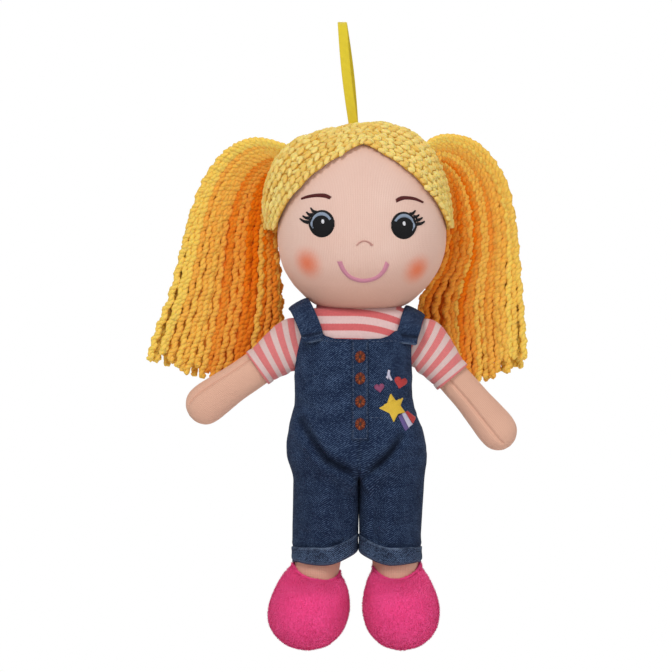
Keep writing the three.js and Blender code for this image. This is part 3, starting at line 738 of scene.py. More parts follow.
def vector_calc(tree, operation, first, second):
    """One step of sums with vectors. To scale takes a number as its second value."""
    links = {0: first, ("Scale" if operation == "SCALE" else 1): second}
    return node(tree, "ShaderNodeVectorMath", links, operation=operation).outputs[0]


def named(tree, label, kind="FLOAT"):
    return node(tree, "GeometryNodeInputNamedAttribute", {"Name": label}, data_type=kind).outputs[0]


def end_tree(tree, leave, shape, material):
    real = node(tree, "GeometryNodeRealizeInstances", {"Geometry": shape})
    dressed = node(tree, "GeometryNodeSetMaterial", {"Geometry": real.outputs[0], "Material": material})
    smooth = node(tree, "GeometryNodeSetShadeSmooth", {"Geometry": dressed.outputs[0]})
    tree.links.new(smooth.outputs[0], leave.inputs[0])
    return tree


def tube_along(tree, curve, sides_socket, radius):
    """A capped tube round a curve."""
    ring = node(tree, "GeometryNodeCurvePrimitiveCircle", {"Resolution": sides_socket, "Radius": radius})
    return node(tree, "GeometryNodeCurveToMesh", {
        "Curve": curve, "Profile Curve": ring.outputs["Curve"], "Fill Caps": True}).outputs[0]


# %% Threads, yarn and lumps


def build_thread_tree():
    tree, given, leave = new_tree("threads", {"Radius": 0.0003, "Sides": 6})
    path = node(tree, "GeometryNodeMeshToCurve", {"Mesh": given["Geometry"]})
    return end_tree(tree, leave, tube_along(tree, path.outputs[0], given["Sides"], given["Radius"]),
                    given["Material"])


def build_yarn_tree():
    tree, given, leave = new_tree("two_ply_yarn", {
        "Step": 0.0011, "Pitch": 0.008, "Twist Radius": 0.001, "Ply Radius": 0.00125, "Sides": 6})
    path = node(tree, "GeometryNodeMeshToCurve", {"Mesh": given["Geometry"]})
    even = node(tree, "GeometryNodeResampleCurve", {"Curve": path.outputs[0], "Length": given["Step"]},
                mode="LENGTH")
    gone = node(tree, "GeometryNodeSplineParameter").outputs["Length"]
    along = node(tree, "GeometryNodeInputTangent").outputs[0]
    across = node(tree, "GeometryNodeInputNormal").outputs[0]
    up = vector_calc(tree, "CROSS_PRODUCT", along, across)
    turned = calc(tree, "ADD", calc(tree, "DIVIDE", gone, given["Pitch"]), named(tree, "twist"))
    unevenness = node(tree, "ShaderNodeTexNoise", {"Scale": 420.0, "Detail": 1.0}).outputs[0]
    fullness_here = calc(tree, "MULTIPLY_ADD", unevenness, 1.5, named(tree, "swell"))
    joined = node(tree, "GeometryNodeJoinGeometry")
    for lead in (0.0, 0.5):
        angle = calc(tree, "MULTIPLY", calc(tree, "ADD", turned, lead), math.tau)
        both = vector_calc(tree, "ADD", vector_calc(tree, "SCALE", across, calc(tree, "COSINE", angle)),
                           vector_calc(tree, "SCALE", up, calc(tree, "SINE", angle)))
        push = vector_calc(tree, "SCALE", both, given["Twist Radius"])
        ply = node(tree, "GeometryNodeSetPosition", {"Geometry": even.outputs[0], "Offset": push})
        full = node(tree, "GeometryNodeSetCurveRadius", {"Curve": ply.outputs[0], "Radius": fullness_here})
        tube = tube_along(tree, full.outputs[0], given["Sides"], given["Ply Radius"])
        tree.links.new(tube, joined.inputs[0])
    return end_tree(tree, leave, joined.outputs[0], given["Material"])


def build_lump_tree():
    tree, given, leave = new_tree("lumps", {"Size": (0.003, 0.0014, 0.0013), "Segments": 8, "Rings": 6})
    ball = node(tree, "GeometryNodeMeshUVSphere", {
        "Segments": given["Segments"], "Rings": given["Rings"], "Radius": 1.0})
    lump = node(tree, "GeometryNodeTransform", {"Geometry": ball.outputs["Mesh"], "Scale": given["Size"]})
    spread = node(tree, "GeometryNodeInstanceOnPoints", {
        "Points": given["Geometry"], "Instance": lump.outputs[0],
        "Rotation": named(tree, "turn", "FLOAT_VECTOR"), "Scale": named(tree, "size")})
    real = node(tree, "GeometryNodeRealizeInstances", {"Geometry": spread.outputs[0]})
    rough = node(tree, "ShaderNodeTexNoise", {"Scale": 560.0, "Detail": 1.0}).outputs["Color"]
    push = vector_calc(tree, "SCALE", vector_calc(tree, "SUBTRACT", rough, (0.5, 0.5, 0.5)), 0.0016)
    moved = node(tree, "GeometryNodeSetPosition", {"Geometry": real.outputs[0], "Offset": push})
    return end_tree(tree, leave, moved.outputs[0], given["Material"])


thread_tree, yarn_tree, lump_tree = build_thread_tree(), build_yarn_tree(), build_lump_tree()
print("trees", [t.name for t in bpy.data.node_groups if t.bl_idname == "GeometryNodeTree"])

# %% Growing from a tree


def grow(name, source, tree, **values):
    """Runs a tree on a source mesh, and keeps the result as a plain mesh object."""
    made = piece(name, source)
    modifier = made.modifiers.new("grow", "NODES")
    modifier.node_group = tree
    for item in tree.interface.items_tree:
        if item.in_out == "INPUT" and item.name.replace(" ", "_") in values:
            modifier[item.identifier] = values[item.name.replace(" ", "_")]
    return settle(made)


def paths_mesh(name, paths, tints=None, twists=None):
    """Open paths of points as a mesh of edges, with a tint, a twist and a swell for the yarn."""
    points, edges, tint_values, twist_values = [], [], [], []
    for index, path in enumerate(paths):
        first = len(points)
        points += path
        edges += [(first + i, first + i + 1) for i in range(len(path) - 1)]
        tint_values += tints[index] if tints else [0.5] * len(path)
        twist_values += [twists[index] if twists else 0.0] * len(path)
    mesh = bpy.data.meshes.new(name)
    mesh.from_pydata(points, edges, [])
    keep_values(mesh, "tint", tint_values)
    keep_values(mesh, "twist", twist_values)
    keep_values(mesh, "swell", [0.25] * len(points))
    return mesh


def threads(name, paths, radius, material, sides=6):
    return grow(name, paths_mesh(name, paths), thread_tree, Radius=radius * mm, Sides=sides,
                Material=material)

# %% [markdown]
# ## The hanging ribbon
# One length of narrow woven ribbon is folded double and sewn into the crown. It could be a
# flattened tube, but a ribbon is a strip, so its section is swept flat along the route with
# its width kept level. It is a free cord, and its length is printed.

# %% Ribbon loop
ribbon_width, ribbon_wall, ribbon_power, ribbon_columns = 5.4, 0.8, 5, 16
loop_lean, loop_foot, loop_top = 6.5, -59.5, -0.4
loop_gap, loop_spread, loop_aside = 0.55, 3.35, 0.9
loop_shares = [  # spread from the middle, and rise from the crown
    (0, 0), (0.34, 0.12), (0.72, 0.25), (1, 0.5), (1, 0.8), (0.7, 0.95), (0, 1),
]


def loop_leg(side):
    """One leg of the loop from the crown to the top, in mm: -1 is the front one."""
    rows = []
    for spread, rise in smooth_rows(loop_shares, 6):
        apart = side * (loop_gap + max(spread, 0) * loop_spread) if rise < 1 else 0
        aside = side * loop_aside * math.sin(math.pi * min(1, rise))
        rows.append((loop_lean * (1 - rise) + aside, apart, loop_foot + rise * (loop_top - loop_foot)))
    return rows


def square_to(wide, ahead):
    """The direction wide, turned to stand square on the direction ahead."""
    return (wide - ahead * wide.dot(ahead)).normalized()


def make_ribbon():
    route = [Vector(p) * mm for p in loop_leg(-1) + loop_leg(1)[-2::-1]]

    def place(turn, i, point):
        ahead = neighbours(route, i)
        wide = square_to(Vector((1, 0, 0)), ahead)
        x, y = oval(turn, ribbon_width / 2, ribbon_wall / 2, ribbon_power)
        return point + wide * x * mm + wide.cross(ahead) * y * mm

    rings = rings_of(enumerate(route), ribbon_columns, place)
    made = piece("ribbon", grid_mesh("ribbon", capped(rings, route[0], route[-1])), ribbon_cloth)
    length = running_lengths(route)[-1]
    dress(made, "ribbon", "loop", "hanging_loop")
    print("ribbon length in mm", round(length / mm, 1))


make_ribbon()

# %% [markdown]
# ## The head
# The head is a stuffed bag of peach jersey: widest below the eyes and drawn in at the chin,
# made of a face panel and a back panel joined at the sides. It is lofted from a table of
# swells. The seam is a shallow groove, because stuffing pushes the cloth out on both sides.

# %% Form of the head
chin, skull_top = -161.0, -62.5
head_height = skull_top - chin
head_half, head_depth, head_shift = 47.5, 39.0, 2.3
head_seam, seam_margin = 3.0, 0.00001
head_power, head_columns, head_cloth = 2.15, 96, 0.9
groove_share, groove_width = 0.012, 2.2
jaw_aside, jaw_height, left_fuller = 0.9, 0.3, 1.028
head_shares = [  # rise, half width, half depth
    (-0.031, 0, 0), (-0.026, 0.3, 0.3), (-0.013, 0.47, 0.46), (0.005, 0.56, 0.55), (0.034, 0.64, 0.63),
    (0.086, 0.75, 0.73), (0.125, 0.82, 0.79), (0.21, 0.925, 0.91), (0.32, 0.99, 0.985), (0.44, 1, 1),
    (0.58, 0.96, 0.97), (0.72, 0.87, 0.88), (0.84, 0.72, 0.74), (0.93, 0.5, 0.53), (0.985, 0.24, 0.26),
    (1, 0, 0),
]


def head_point(turn, rise, half, depth):
    x, y = oval(turn, half * head_half, depth * head_depth, head_power)
    lean = head_seam * (1 - min(1, abs(y) / head_depth)) * half
    groove = 1 - groove_share * bell(y, groove_width)
    aside = jaw_aside * max(0.0, 1 - max(rise, 0) / jaw_height)
    fuller = left_fuller if x < 0 else 1.0
    return spot(head_shift - aside + x * groove * fuller, y * groove + lean, chin + rise * head_height)


head_form = grid_mesh("head_form", rings_of(swells(head_shares, 5), head_columns, head_point))
head_tree = BVHTree.FromPolygons([v.co.copy() for v in head_form.vertices],
                                 [list(f.vertices) for f in head_form.polygons])


# %% Places on the face


def face_spot(x, rise, lift=0.0):
    """The point of the face at x from the head's middle and rise above the chin, in mm."""
    start = spot(head_shift + x, -120, chin + rise)
    hit, normal, _, _ = head_tree.ray_cast(start, Vector((0, 1, 0)))
    if normal.y > 0:
        normal = -normal
    return hit + normal * lift * mm, normal


blushes = [  # centre, radius in metres, colour
    (face_spot(-31.7, 22.9)[0], 0.0104, (222, 112, 74)),
    (face_spot(30.6, 19.3)[0], 0.0100, (226, 116, 76)),
]
face_skin = skin_finish("face_skin", (232, 202, 189), (214, 170, 153), blushes)


# %% Head panels


def head_panel(name, front, material):
    """The head's cloth before or behind the side seam."""
    mesh = head_form.copy()
    mesh.name = name
    bm = bmesh.new()
    bm.from_mesh(mesh)
    other = []
    for face in bm.faces:
        y = face.calc_center_median().y
        before = y < head_seam * mm * (1 - abs(y) / (head_depth * mm)) + seam_margin
        if before != front:
            other.append(face)
    bmesh.ops.delete(bm, geom=other, context="FACES")
    bm.to_mesh(mesh)
    bm.free()
    made = piece(name, mesh, material)
    thicken(made, head_cloth)
    return made


face_panel = head_panel("face_panel", True, face_skin)
back_panel = head_panel("head_back_panel", False, skin)
dress(face_panel, "skin", "head", "head_front", "head_stuffing", fill=0.9)
dress(back_panel, "skin", "head", "head_back", fill=0.9)

# %% [markdown]
# ## The wig
# Thick yarn is knitted into chains and sewn on in rows that follow the hairline, one behind
# the other, up over the crown. Each link of a chain is a V of two fat lumps. The rows are cut
# where they would pass below the nape, and each point of them is found by a ray from the
# middle of the head, so they keep their order all the way round. A shell of the same yarn
# colour closes the gaps between them.

# %% Hairline
centre_rise = 49
head_centre = spot(head_shift, 0, chin + centre_rise)
hairline = [(47.0, -8.5), (42.5, 4.4), (33.7, 16.0), (23.0, 26.5), (11.8, 34.0), (0.0, 40.5)]
ear_slope = 0.18  # how the hairline goes on below the ear, in radians of tilt for one of turn
# degrees round the head from the right ear, and how far the drawn-up hair stands out in mm
hair_fullness = [
    (-20, 0), (0, 0), (15, 0.8), (30, 2.0), (45, 3.4), (60, 3.8), (75, 2.6), (90, 0.5), (105, 0.3),
    (120, 2.9), (132, 6.8), (146, 8.2), (160, 7.6), (172, 6.2), (182, 4.2), (192, 1.6), (202, 0),
    (300, 0),
]

line_angles = []  # the hairline as (turn, tilt) pairs for the right half, from the ear to the peak
for x, rise in hairline:
    ray = (face_spot(x, centre_rise + rise)[0] - head_centre).normalized()
    line_angles.append((math.atan2(ray.z, ray.x), math.acos(-ray.y)))


def hairline_tilt(turn):
    """How far from straight ahead the hairline lies, in the direction turn."""
    turn = min(turn, math.pi - turn)
    ear_turn, ear_tilt = line_angles[0]
    if turn <= ear_turn:
        return ear_tilt + ear_slope * (ear_turn - turn)
    return look_up(line_angles, turn)


def aim(turn, tilt):
    return Vector((math.sin(tilt) * math.cos(turn), -math.cos(tilt), math.sin(tilt) * math.sin(turn)))


def scalp(turn, share, lift):
    """The point on the head at turn, share of the way from the hairline to the back's middle."""
    low = hairline_tilt(turn)
    ray = aim(turn, low + (math.pi * 0.999 - low) * share)
    hit, normal, _, _ = head_tree.ray_cast(head_centre, ray)
    if normal.dot(ray) < 0:
        normal = -normal
    drawn = min(1.0, share / 0.2) * clamp((0.03 - hit.y) / 0.022)
    full = look_up(hair_fullness, math.degrees(turn), 0.0, ease)
    return hit + normal * (lift + full * drawn) * mm, normal


# %% Rows of the wig
row_pitch, link_pitch, row_step = 4.2, 4.8, 0.02
row_count, shell_count, row_points = 24, 24, 90
nape_front, nape_back, nape_from = -5.5, -34.0, 0.012
shell_lift, shell_wall, shell_tint, row_lift, row_wander = 2.3, 1.8, 0.1, 3.3, 0.4


def above_nape(point):
    back = clamp((point.y - nape_from) / (head_depth * mm - nape_from))
    return point.z > head_centre.z + (nape_front + (nape_back - nape_front) * back) * mm


def row_end(share, way):
    """The lowest turn on one side at which a row still lies above the nape."""
    turn = math.pi / 2
    while abs(turn - math.pi / 2) < math.pi and above_nape(scalp(turn + way * row_step, share, 0)[0]):
        turn += way * row_step
    return turn


def scalp_row(share, lift):
    right, left = row_end(share, -1), row_end(share, 1)
    return [scalp(right + (left - right) * i / row_points, share, lift) for i in range(row_points + 1)]


def make_cap_shell():
    rings = [[p for p, _ in scalp_row(k / shell_count, shell_lift)] for k in range(shell_count + 1)]
    made = piece("hair_shell", grid_mesh("hair_shell", rings, closed=False), cap_yarn)
    paint(made.data, "tint", lambda p: shell_tint)
    thicken(made, shell_wall, offset=0)
    return made


# %% Chain stitches of the wig


def chain_links(points, seed):
    """Places two lumps a link along a row: (place, turn, size, tint)."""
    draw = random.Random(seed)
    lengths = running_lengths([place for place, _ in points])
    links = max(1, round(lengths[-1] / (link_pitch * mm)))
    made = []
    for k in range(links):
        at, share = stretch_at(lengths, lengths[-1] * (k + 0.5) / links)
        (first, first_out), (second, second_out) = points[at], points[at + 1]
        centre = first.lerp(second, share)
        normal = first_out.lerp(second_out, share).normalized()
        ahead = (second - first).normalized()
        across = ahead.cross(normal).normalized()
        for side in sides:
            slant = math.radians(side * 24 + draw.uniform(-9, 9))
            along = ahead * math.cos(slant) + across * math.sin(slant)
            turn = Matrix((along, normal.cross(along), normal)).transposed().to_euler()
            place = centre + across * side * row_pitch / 4 * mm
            place += normal * draw.uniform(-0.15, row_wander) * mm
            made.append((place, tuple(turn), draw.uniform(0.92, 1.16), draw.uniform(0.3, 0.85)))
    return made


def make_cap_rows():
    lumps = []
    for k in range(row_count):
        lumps += chain_links(scalp_row((k + 0.35) / (row_count + 0.5), row_lift), 40 + k)
    places, turns, sizes, tints = zip(*lumps)
    mesh = bpy.data.meshes.new("hair_rows")
    mesh.from_pydata(list(places), [], [])
    facing = mesh.attributes.new("turn", "FLOAT_VECTOR", "POINT")
    facing.data.foreach_set("vector", [c for turn in turns for c in turn])
    keep_values(mesh, "size", sizes)
    keep_values(mesh, "tint", tints)
    print("wig links", len(lumps) // 2)
    return grow("hair_rows", mesh, lump_tree, Size=(3.0 * mm, 1.4 * mm, 1.3 * mm), Segments=8, Rings=6,
                Material=cap_yarn)


hair_shell, hair_rows = make_cap_shell(), make_cap_rows()
dress(hair_shell, "cap_yarn", "head", "hair_cap")
dress(hair_rows, "cap_yarn", "head")

# %% [markdown]
# ## The ponytails
# Each ponytail is a hank of chunky yarn, tied at the side of the head, that bends over the tie
# and spreads to ragged ends. The strands are paths between the hank's outer and inner edges,
# in three layers with two single strands at the rim, and each is twisted from two plies. A
# packed inner hank closes the gaps. Strands on the outside are painted paler, as a painted
# highlight where light reaches them, and those inside a deeper orange, as painted shade.

# %% Course of a ponytail
tie_out, tie_back, tie_up = 47.6, 5.0, 83.5  # aside of the face's middle, behind it, above the chin
tail_back, layer_depth = 26.0, 7.2
tail_sag = {-1: 10.5, 1: 15.0}  # how much lower the middle of each hank hangs at its ends, in mm
tail_edges = {  # outer (out, down), inner (out, down), in mm from the tie
    -1: [
        ((-14, -1), (-12, 8)), ((-6, -5), (-7, 9)), ((3, -8.5), (-3, 11)), ((13, -10.5), (-2, 14)),
        ((22, -8.5), (-1, 18)), ((31, -3), (0, 23)), ((39, 6), (1, 30)), ((45.5, 17), (1, 39)),
        ((51, 32), (1, 49)), ((54.5, 45), (0, 60)), ((58, 60), (-1, 72)), ((62.5, 78), (-1.6, 84)),
        ((68.5, 94), (-1.4, 98)), ((73, 107), (0, 112)), ((75.2, 115.2), (4, 120)),
    ],
    1: [
        ((-16, -2), (-12, 8)), ((-10, -8.5), (-7, 9)), ((-3, -12), (-3, 11)), ((6.5, -12), (-2, 14)),
        ((16, -8.6), (-1, 18)), ((24, -1.6), (0, 23)), ((30.8, 7.4), (1, 30)), ((35.4, 16.8), (1, 39)),
        ((38.6, 30), (0.5, 49)), ((40.6, 45), (-1.5, 61)), ((42, 63), (-9, 72)),
        ((43.1, 82), (-14.5, 82)), ((44, 98), (-13.5, 91)), ((44.8, 110), (-12, 101)),
        ((44.6, 119), (-10.5, 109)),
    ],
}
depth_shares = [0.8, 0.8, 0.8, 0.9, 1, 1, 1, 1, 1, 1, 1, 1, 1, 1, 1]
back_shares = [0, 0, 0.08, 0.2, 0.3, 0.42, 0.52, 0.6, 0.68, 0.76, 0.85, 0.93, 1, 1, 1]


def tail_course(side):
    rows = [[*outer, *inner, back, depth]
            for (outer, inner), back, depth in zip(tail_edges[side], back_shares, depth_shares)]
    return smooth_rows(rows, 8)


def tail_spot(side, course, i, share, aside, forward):
    """A place in the hank: share runs from its inner to its outer edge."""
    out0, down0, out1, down1, back, depth = course[i]
    gone = i / (len(course) - 1)
    out = out1 + (out0 - out1) * share
    down = down1 + (down0 - down1) * share + tail_sag[side] * math.sin(math.pi * share ** 0.78) * gone ** 6
    y = tie_back + back * tail_back + depth * forward
    return spot(head_shift + side * (tie_out + out + aside), y, chin + tie_up - down)


def hank_painted_light(share, gone):
    """Painted light and shade: deep orange inside the hank, paler at its outside, its root and its ends."""
    glow = 0.06 + 0.75 * max(0.0, (share - 0.52) / 0.48) ** 0.8 + 0.4 * max(0.0, 0.1 - share) / 0.1
    return glow + 0.26 * max(0.0, gone - 0.6) / 0.4 + 0.6 * math.exp(-gone * 9)


# %% Strands
tail_layers = [(-1, 21), (0, 9), (1, 18), (-0.5, 1), (0.5, 1)]  # place, front to back, and strands in it
rim_share = 0.96  # where the single strands run, between the hank's inner and outer edge


def curl(share, layer, gone):
    """How far a strand leaves its layer, in mm: the hank turns a little towards its ends."""
    return 1.2 * math.sin(share * 11 + layer + gone * 3) * gone


def tail_paths(side, course, seed):
    draw = random.Random(seed)
    paths, tints = [], []
    for layer, columns in tail_layers:
        for column in range(columns):
            share = (column + 0.5 + draw.uniform(-0.25, 0.25)) / columns if columns > 1 else rim_share
            last = int((len(course) - 1) * (1 - draw.uniform(0, 0.06)))
            sway, crimp, pace = draw.uniform(0, math.tau), draw.uniform(0, math.tau), draw.uniform(0.8, 1.25)
            drift, ripple = draw.uniform(0.5, 1.7), draw.uniform(0.45, 0.9)
            fair = draw.uniform(-0.2, 0.2) + (0.25 if draw.random() < 0.18 else 0)
            path, tint = [], []
            for i in range(last + 1):
                gone = i / (len(course) - 1)
                wave = drift * math.sin(gone * 8 * pace + sway) * gone
                wave += ripple * min(1.0, gone * 4) * math.sin(i * 1.05 * pace + crimp)
                y = layer * layer_depth + wave * 0.6 + curl(share, layer, gone)
                path.append(tail_spot(side, course, i, share, wave, y))
                # painted light and shade from the strand's place in the hank, a random tone for each strand,
                # and the front layer painted a little paler
                tint.append(clamp(hank_painted_light(share, gone) + fair + 0.06 * (layer < 0)))
            paths.append(path)
            tints.append(tint)
    return paths, tints


# %% Inner hank
hank_columns, hank_grooves, hank_painted_shade = 40, 21, 0.08
tie_ring, tie_turns, tie_steps = 6.8, 3.2, 26


def rounded(point):
    return tuple(round(c, 7) for c in point)


def make_hank(side, course):
    """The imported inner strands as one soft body, so that no gap shows daylight."""
    rows = range(2, int(len(course) * 0.93))
    tint_at = {}

    def place(turn, i):
        gone = i / (len(course) - 1)
        full = min(1.0, (i - 1) / 5, (rows[-1] + 1 - i) / 7) ** 0.5
        share, high = 0.5 + 0.47 * math.cos(turn), abs(math.sin(turn))
        groove = 0.45 * math.cos(share * hank_grooves * math.tau)
        face = math.copysign(1, math.sin(turn))
        y = face * high ** 0.55 * (layer_depth - 0.6 + groove) * full + high * curl(share, face, gone)
        point = tail_spot(side, course, i, share, 0.0, y)
        # painted shade: the inner hank darker than the strands over it
        tint_at[rounded(point)] = hank_painted_light(share, gone) - hank_painted_shade
        return point

    rings = rings_of(([i] for i in rows), hank_columns, place)
    first, last = (tail_spot(side, course, i, 0.5, 0.0, 0.0) for i in (rows[0], rows[-1]))
    mesh = grid_mesh(f"hank_{side}", capped(rings, first, last))
    paint(mesh, "tint", lambda p: tint_at.get(rounded(p), 0.2))
    return piece(f"hank_{side}", mesh, tail_yarn)


# %% Ponytails and ties


def twist_yarn(name, paths, step, pitch, twist, ply):
    """Two plies round each path: the step, the length of a twist and the two radii are in mm."""
    return grow(name, paths, yarn_tree, Step=step * mm, Pitch=pitch * mm, Twist_Radius=twist * mm,
                Ply_Radius=ply * mm, Sides=6, Material=tail_yarn)


def make_ponytail(side):
    word = sides[side]
    course = tail_course(side)
    paths, tints = tail_paths(side, course, 7 + side)
    draw = random.Random(3)
    mesh = paths_mesh(f"ponytail_{word}_paths", paths, tints, [draw.random() for _ in paths])
    strands = twist_yarn(f"ponytail_strands_{word}", mesh, 1.2, 6.6, 0.78, 1.42)
    made = join(f"ponytail_yarn_{word}", strands, make_hank(side, course))
    dress(made, "ponytail_yarn", f"ponytail_{word}", f"ponytail_{word}")


def make_tie(side):
    """A few turns of the same yarn, wound tight round the root of the hank."""
    word = sides[side]
    path = []
    for i in range(int(tie_turns * tie_steps)):
        angle = math.tau * i / tie_steps
        out = side * (tie_out - 7.5 + 4.4 * i / (tie_turns * tie_steps))
        path.append(spot(head_shift + out, tie_back + tie_ring * math.cos(angle),
                         chin + tie_up - 1 + tie_ring * math.sin(angle)))
    mesh = paths_mesh("tie_path", [path], [[0.6] * len(path)])
    made = twist_yarn(f"tie_yarn_{word}", mesh, 1.0, 7.0, 0.6, 0.8)
    dress(made, "ponytail_yarn", f"ponytail_{word}", f"tie_{word}")


for side in sides:
    make_ponytail(side)
    make_tie(side)

# %% [markdown]
# ## The embroidered face
# The face is stitched with satin thread: round black eyes with a grey-blue glint, short
# lashes, thin brows, and thin arcs for the nose and smile. Each filled shape is cut into
# parallel threads that are laid on the curved cheek by ray casts, so they sit in the cloth's
# surface from every side.

# %% Satin stitch
shortest_thread, thread_dip = 0.25, 0.35
stroke_points, stroke_dip, stroke_slant = 5, 0.3, 0.35


def span_of(outline, level):
    """Where a line at this level crosses a closed outline, as the lowest and highest across."""
    hits = []
    for (x0, y0), (x1, y1) in zip(outline, outline[1:] + outline[:1]):
        if (y0 > level) != (y1 > level):
            hits.append(x0 + (x1 - x0) * (level - y0) / (y1 - y0))
    hits.sort()
    return [(hits[i], hits[i + 1]) for i in range(0, len(hits) - 1, 2)]


def satin(outline, lay, angle=0.0, pitch=0.42, lift=0.15, crown=0.3, points=6):
    """Parallel threads that fill an outline in mm: lay(x, rise, lift) puts a point on the cloth."""
    c, s = math.cos(angle), math.sin(angle)
    turned = [(x * c + y * s, -x * s + y * c) for x, y in outline]
    low, high = min(y for _, y in turned), max(y for _, y in turned)
    count = max(1, int((high - low) / pitch))
    paths = []
    for k in range(count):
        level = low + (high - low) * (k + 0.5) / count
        for start, end in span_of(turned, level):
            if end - start < shortest_thread:
                continue
            path = []
            for i in range(points):
                share = i / (points - 1)
                x = start + (end - start) * share
                arch = lift + crown * math.sin(math.pi * share) - (thread_dip if i in (0, points - 1) else 0)
                path.append(lay(x * c - level * s, x * s + level * c, arch))
            paths.append(path)
    return paths


# %% Outlines and strokes


def on_face(x, rise, lift):
    return face_spot(x, rise, lift)[0]


def ring_outline(cx, cy, half, tall, count=28, start=0.0, end=math.tau):
    """Points of an oval, or of an arc of it with both its ends."""
    steps = count if abs(end - start - math.tau) < 0.001 else count + 1
    turns = [start + (end - start) * i / count for i in range(steps)]
    return [(cx + half * math.cos(turn), cy + tall * math.sin(turn)) for turn in turns]


def crescent(cx, cy, half, tall, start, end, thick):
    """A curved sliver between two arcs, for the glint."""
    outer = ring_outline(cx, cy, half, tall, 12, start, end)
    inner = ring_outline(cx, cy - 0.3 * thick, half - 0.7 * thick, tall - thick, 12, start, end)
    return outer + inner[::-1]


def stroke(points, widths, lay, pitch=0.4, lift=0.12, crown=0.3):
    """A satin stroke: short threads laid across a curved line of varying width."""
    line = smooth_rows([(*p, w) for p, w in zip(points, widths)], 8)
    lengths = running_lengths([(x, y) for x, y, _ in line])
    count = max(2, int(lengths[-1] / pitch))
    paths = []
    for k in range(count + 1):
        at, share = stretch_at(lengths, lengths[-1] * k / count)
        a, b = line[at], line[at + 1]
        x, y, w = (p + (q - p) * share for p, q in zip(a, b))
        ahead = Vector((b[0] - a[0], b[1] - a[1], 0)).normalized()
        slant = Vector((-ahead.y + ahead.x * stroke_slant, ahead.x + ahead.y * stroke_slant, 0))
        path = []
        for i in range(stroke_points):
            s = i / (stroke_points - 1) - 0.5
            arch = lift + crown * math.cos(math.pi * s) - (stroke_dip if i in (0, stroke_points - 1) else 0)
            path.append(lay(x + slant.x * s * w, y + slant.y * s * w, arch))
        paths.append(path)
    return paths


# %% Threads and places of the face
black_thread = thread_finish("black_thread", (7, 7, 11), 0.6, 0.2, 0.0)
glint_thread = thread_finish("glint_thread", (150, 166, 188), 0.45)
white_thread = thread_finish("white_thread", (240, 240, 245), 0.45)
maroon_thread = thread_finish("maroon_thread", (88, 26, 26), 0.6, 0.25, 0.0)
mauve_thread = thread_finish("mauve_thread", (222, 146, 168), 0.5)
nose_thread = thread_finish("nose_thread", (222, 164, 152), 0.5)
face_px = 0.57  # mm for one pixel of the photograph
eye_size, light_size, glint_size, glint_thick = (7.1, 7.7), (0.95, 1.2), (5.9, 6.4), 1.5
glint_arcs = {-1: (24, 206), 1: (-30, 156)}  # degrees


def from_photo(x, y):
    """A place in the photograph as mm from the head's middle and above the chin."""
    return (x - 363) * face_px, -(y - 131.6) * face_px + head_height


eye_marks = {
    -1: {"centre": (322.0, 225.0), "white": (323.5, 223.0),
         "roots": [(316.3, 213.9), (312.4, 216.2), (310.2, 219.2), (309.0, 223.4)],
         "tips": [(311.1, 209.3), (307.0, 213.4), (303.3, 217.1), (300.6, 219.8)]},
    1: {"centre": (402.9, 226.7), "white": (402.7, 224.9),
        "roots": [(408.8, 215.9), (412.4, 218.2), (414.8, 221.3), (415.8, 225.2)],
        "tips": [(414.3, 212.0), (418.0, 216.1), (421.2, 218.9), (423.5, 222.6)]},
}


# %% Eyes, brows, nose and mouth


def make_eye(side):
    word, marks = sides[side], eye_marks[side]
    cx, cy = from_photo(*marks["centre"])
    disc = satin(ring_outline(cx, cy, *eye_size), on_face, math.pi / 2, 0.36, 0.25, 0.5, 9)
    lashes = []
    for root, tip in zip(marks["roots"], marks["tips"]):
        (rx, ry), (tx, ty) = from_photo(*root), from_photo(*tip)
        bend = ((rx + tx) / 2 + side * 0.25, (ry + ty) / 2 - 0.45)
        lashes += stroke([(rx, ry), bend, (tx, ty)], [2.2, 1.45, 0.6], on_face, 0.3)
    start, end = map(math.radians, glint_arcs[side])
    sliver = crescent(cx, cy, *glint_size, start, end, glint_thick)
    shine = satin(sliver, on_face, math.pi / 2, 0.36, 0.62, 0.35, 5)
    hx, hy = from_photo(*marks["white"])
    light = satin(ring_outline(hx, hy, *light_size, 12), on_face, 0.3, 0.32, 0.95, 0.25, 4)
    parts = (("disc", disc, 0.27, black_thread), ("lashes", lashes, 0.24, black_thread),
             ("glint", shine, 0.25, glint_thread), ("light", light, 0.22, white_thread))
    made = join(f"eye_stitches_{word}", *(
        threads(f"eye_{word}_{kind}", paths, radius, thread) for kind, paths, radius, thread in parts))
    dress(made, "eyes", "head", f"eye_{word}")


def face_line(name, marks, widths, material, node_name, slot_name, radius=0.24):
    made = threads(name, stroke([from_photo(*m) for m in marks], widths, on_face, 0.38), radius, material)
    dress(made, slot_name, "head", node_name)


for side in sides:
    make_eye(side)
face_line("brow_stitches_left", [(302, 199.8), (308, 198.0), (317.1, 196.8), (325, 197.3), (330.3, 199.6)],
          [1.0, 1.6, 1.9, 2.3, 1.8], maroon_thread, "brow_left", "brows")
face_line("brow_stitches_right", [(395.5, 202.3), (399.6, 200.2), (405.2, 199.3), (414, 200.2), (422, 203.4)],
          [1.8, 2.3, 1.9, 1.6, 1.0], maroon_thread, "brow_right", "brows")
face_line("nose_stitches", [(356.4, 246.6), (359.4, 243.6), (363.9, 242.2), (368.4, 243.6), (371.6, 246.6)],
          [0.5, 0.7, 0.7, 0.9, 1.6], nose_thread, "nose", "smile", 0.17)
mouth_marks = [(339.5, 262.5), (343.5, 271), (351, 278.2), (363, 281.3), (375.5, 278.6), (383, 272),
               (386.8, 264)]
face_line("mouth_stitches", mouth_marks, [2.5, 2.2, 2.0, 2.1, 2.0, 2.2, 2.5], mauve_thread,
          "mouth", "smile", 0.27)

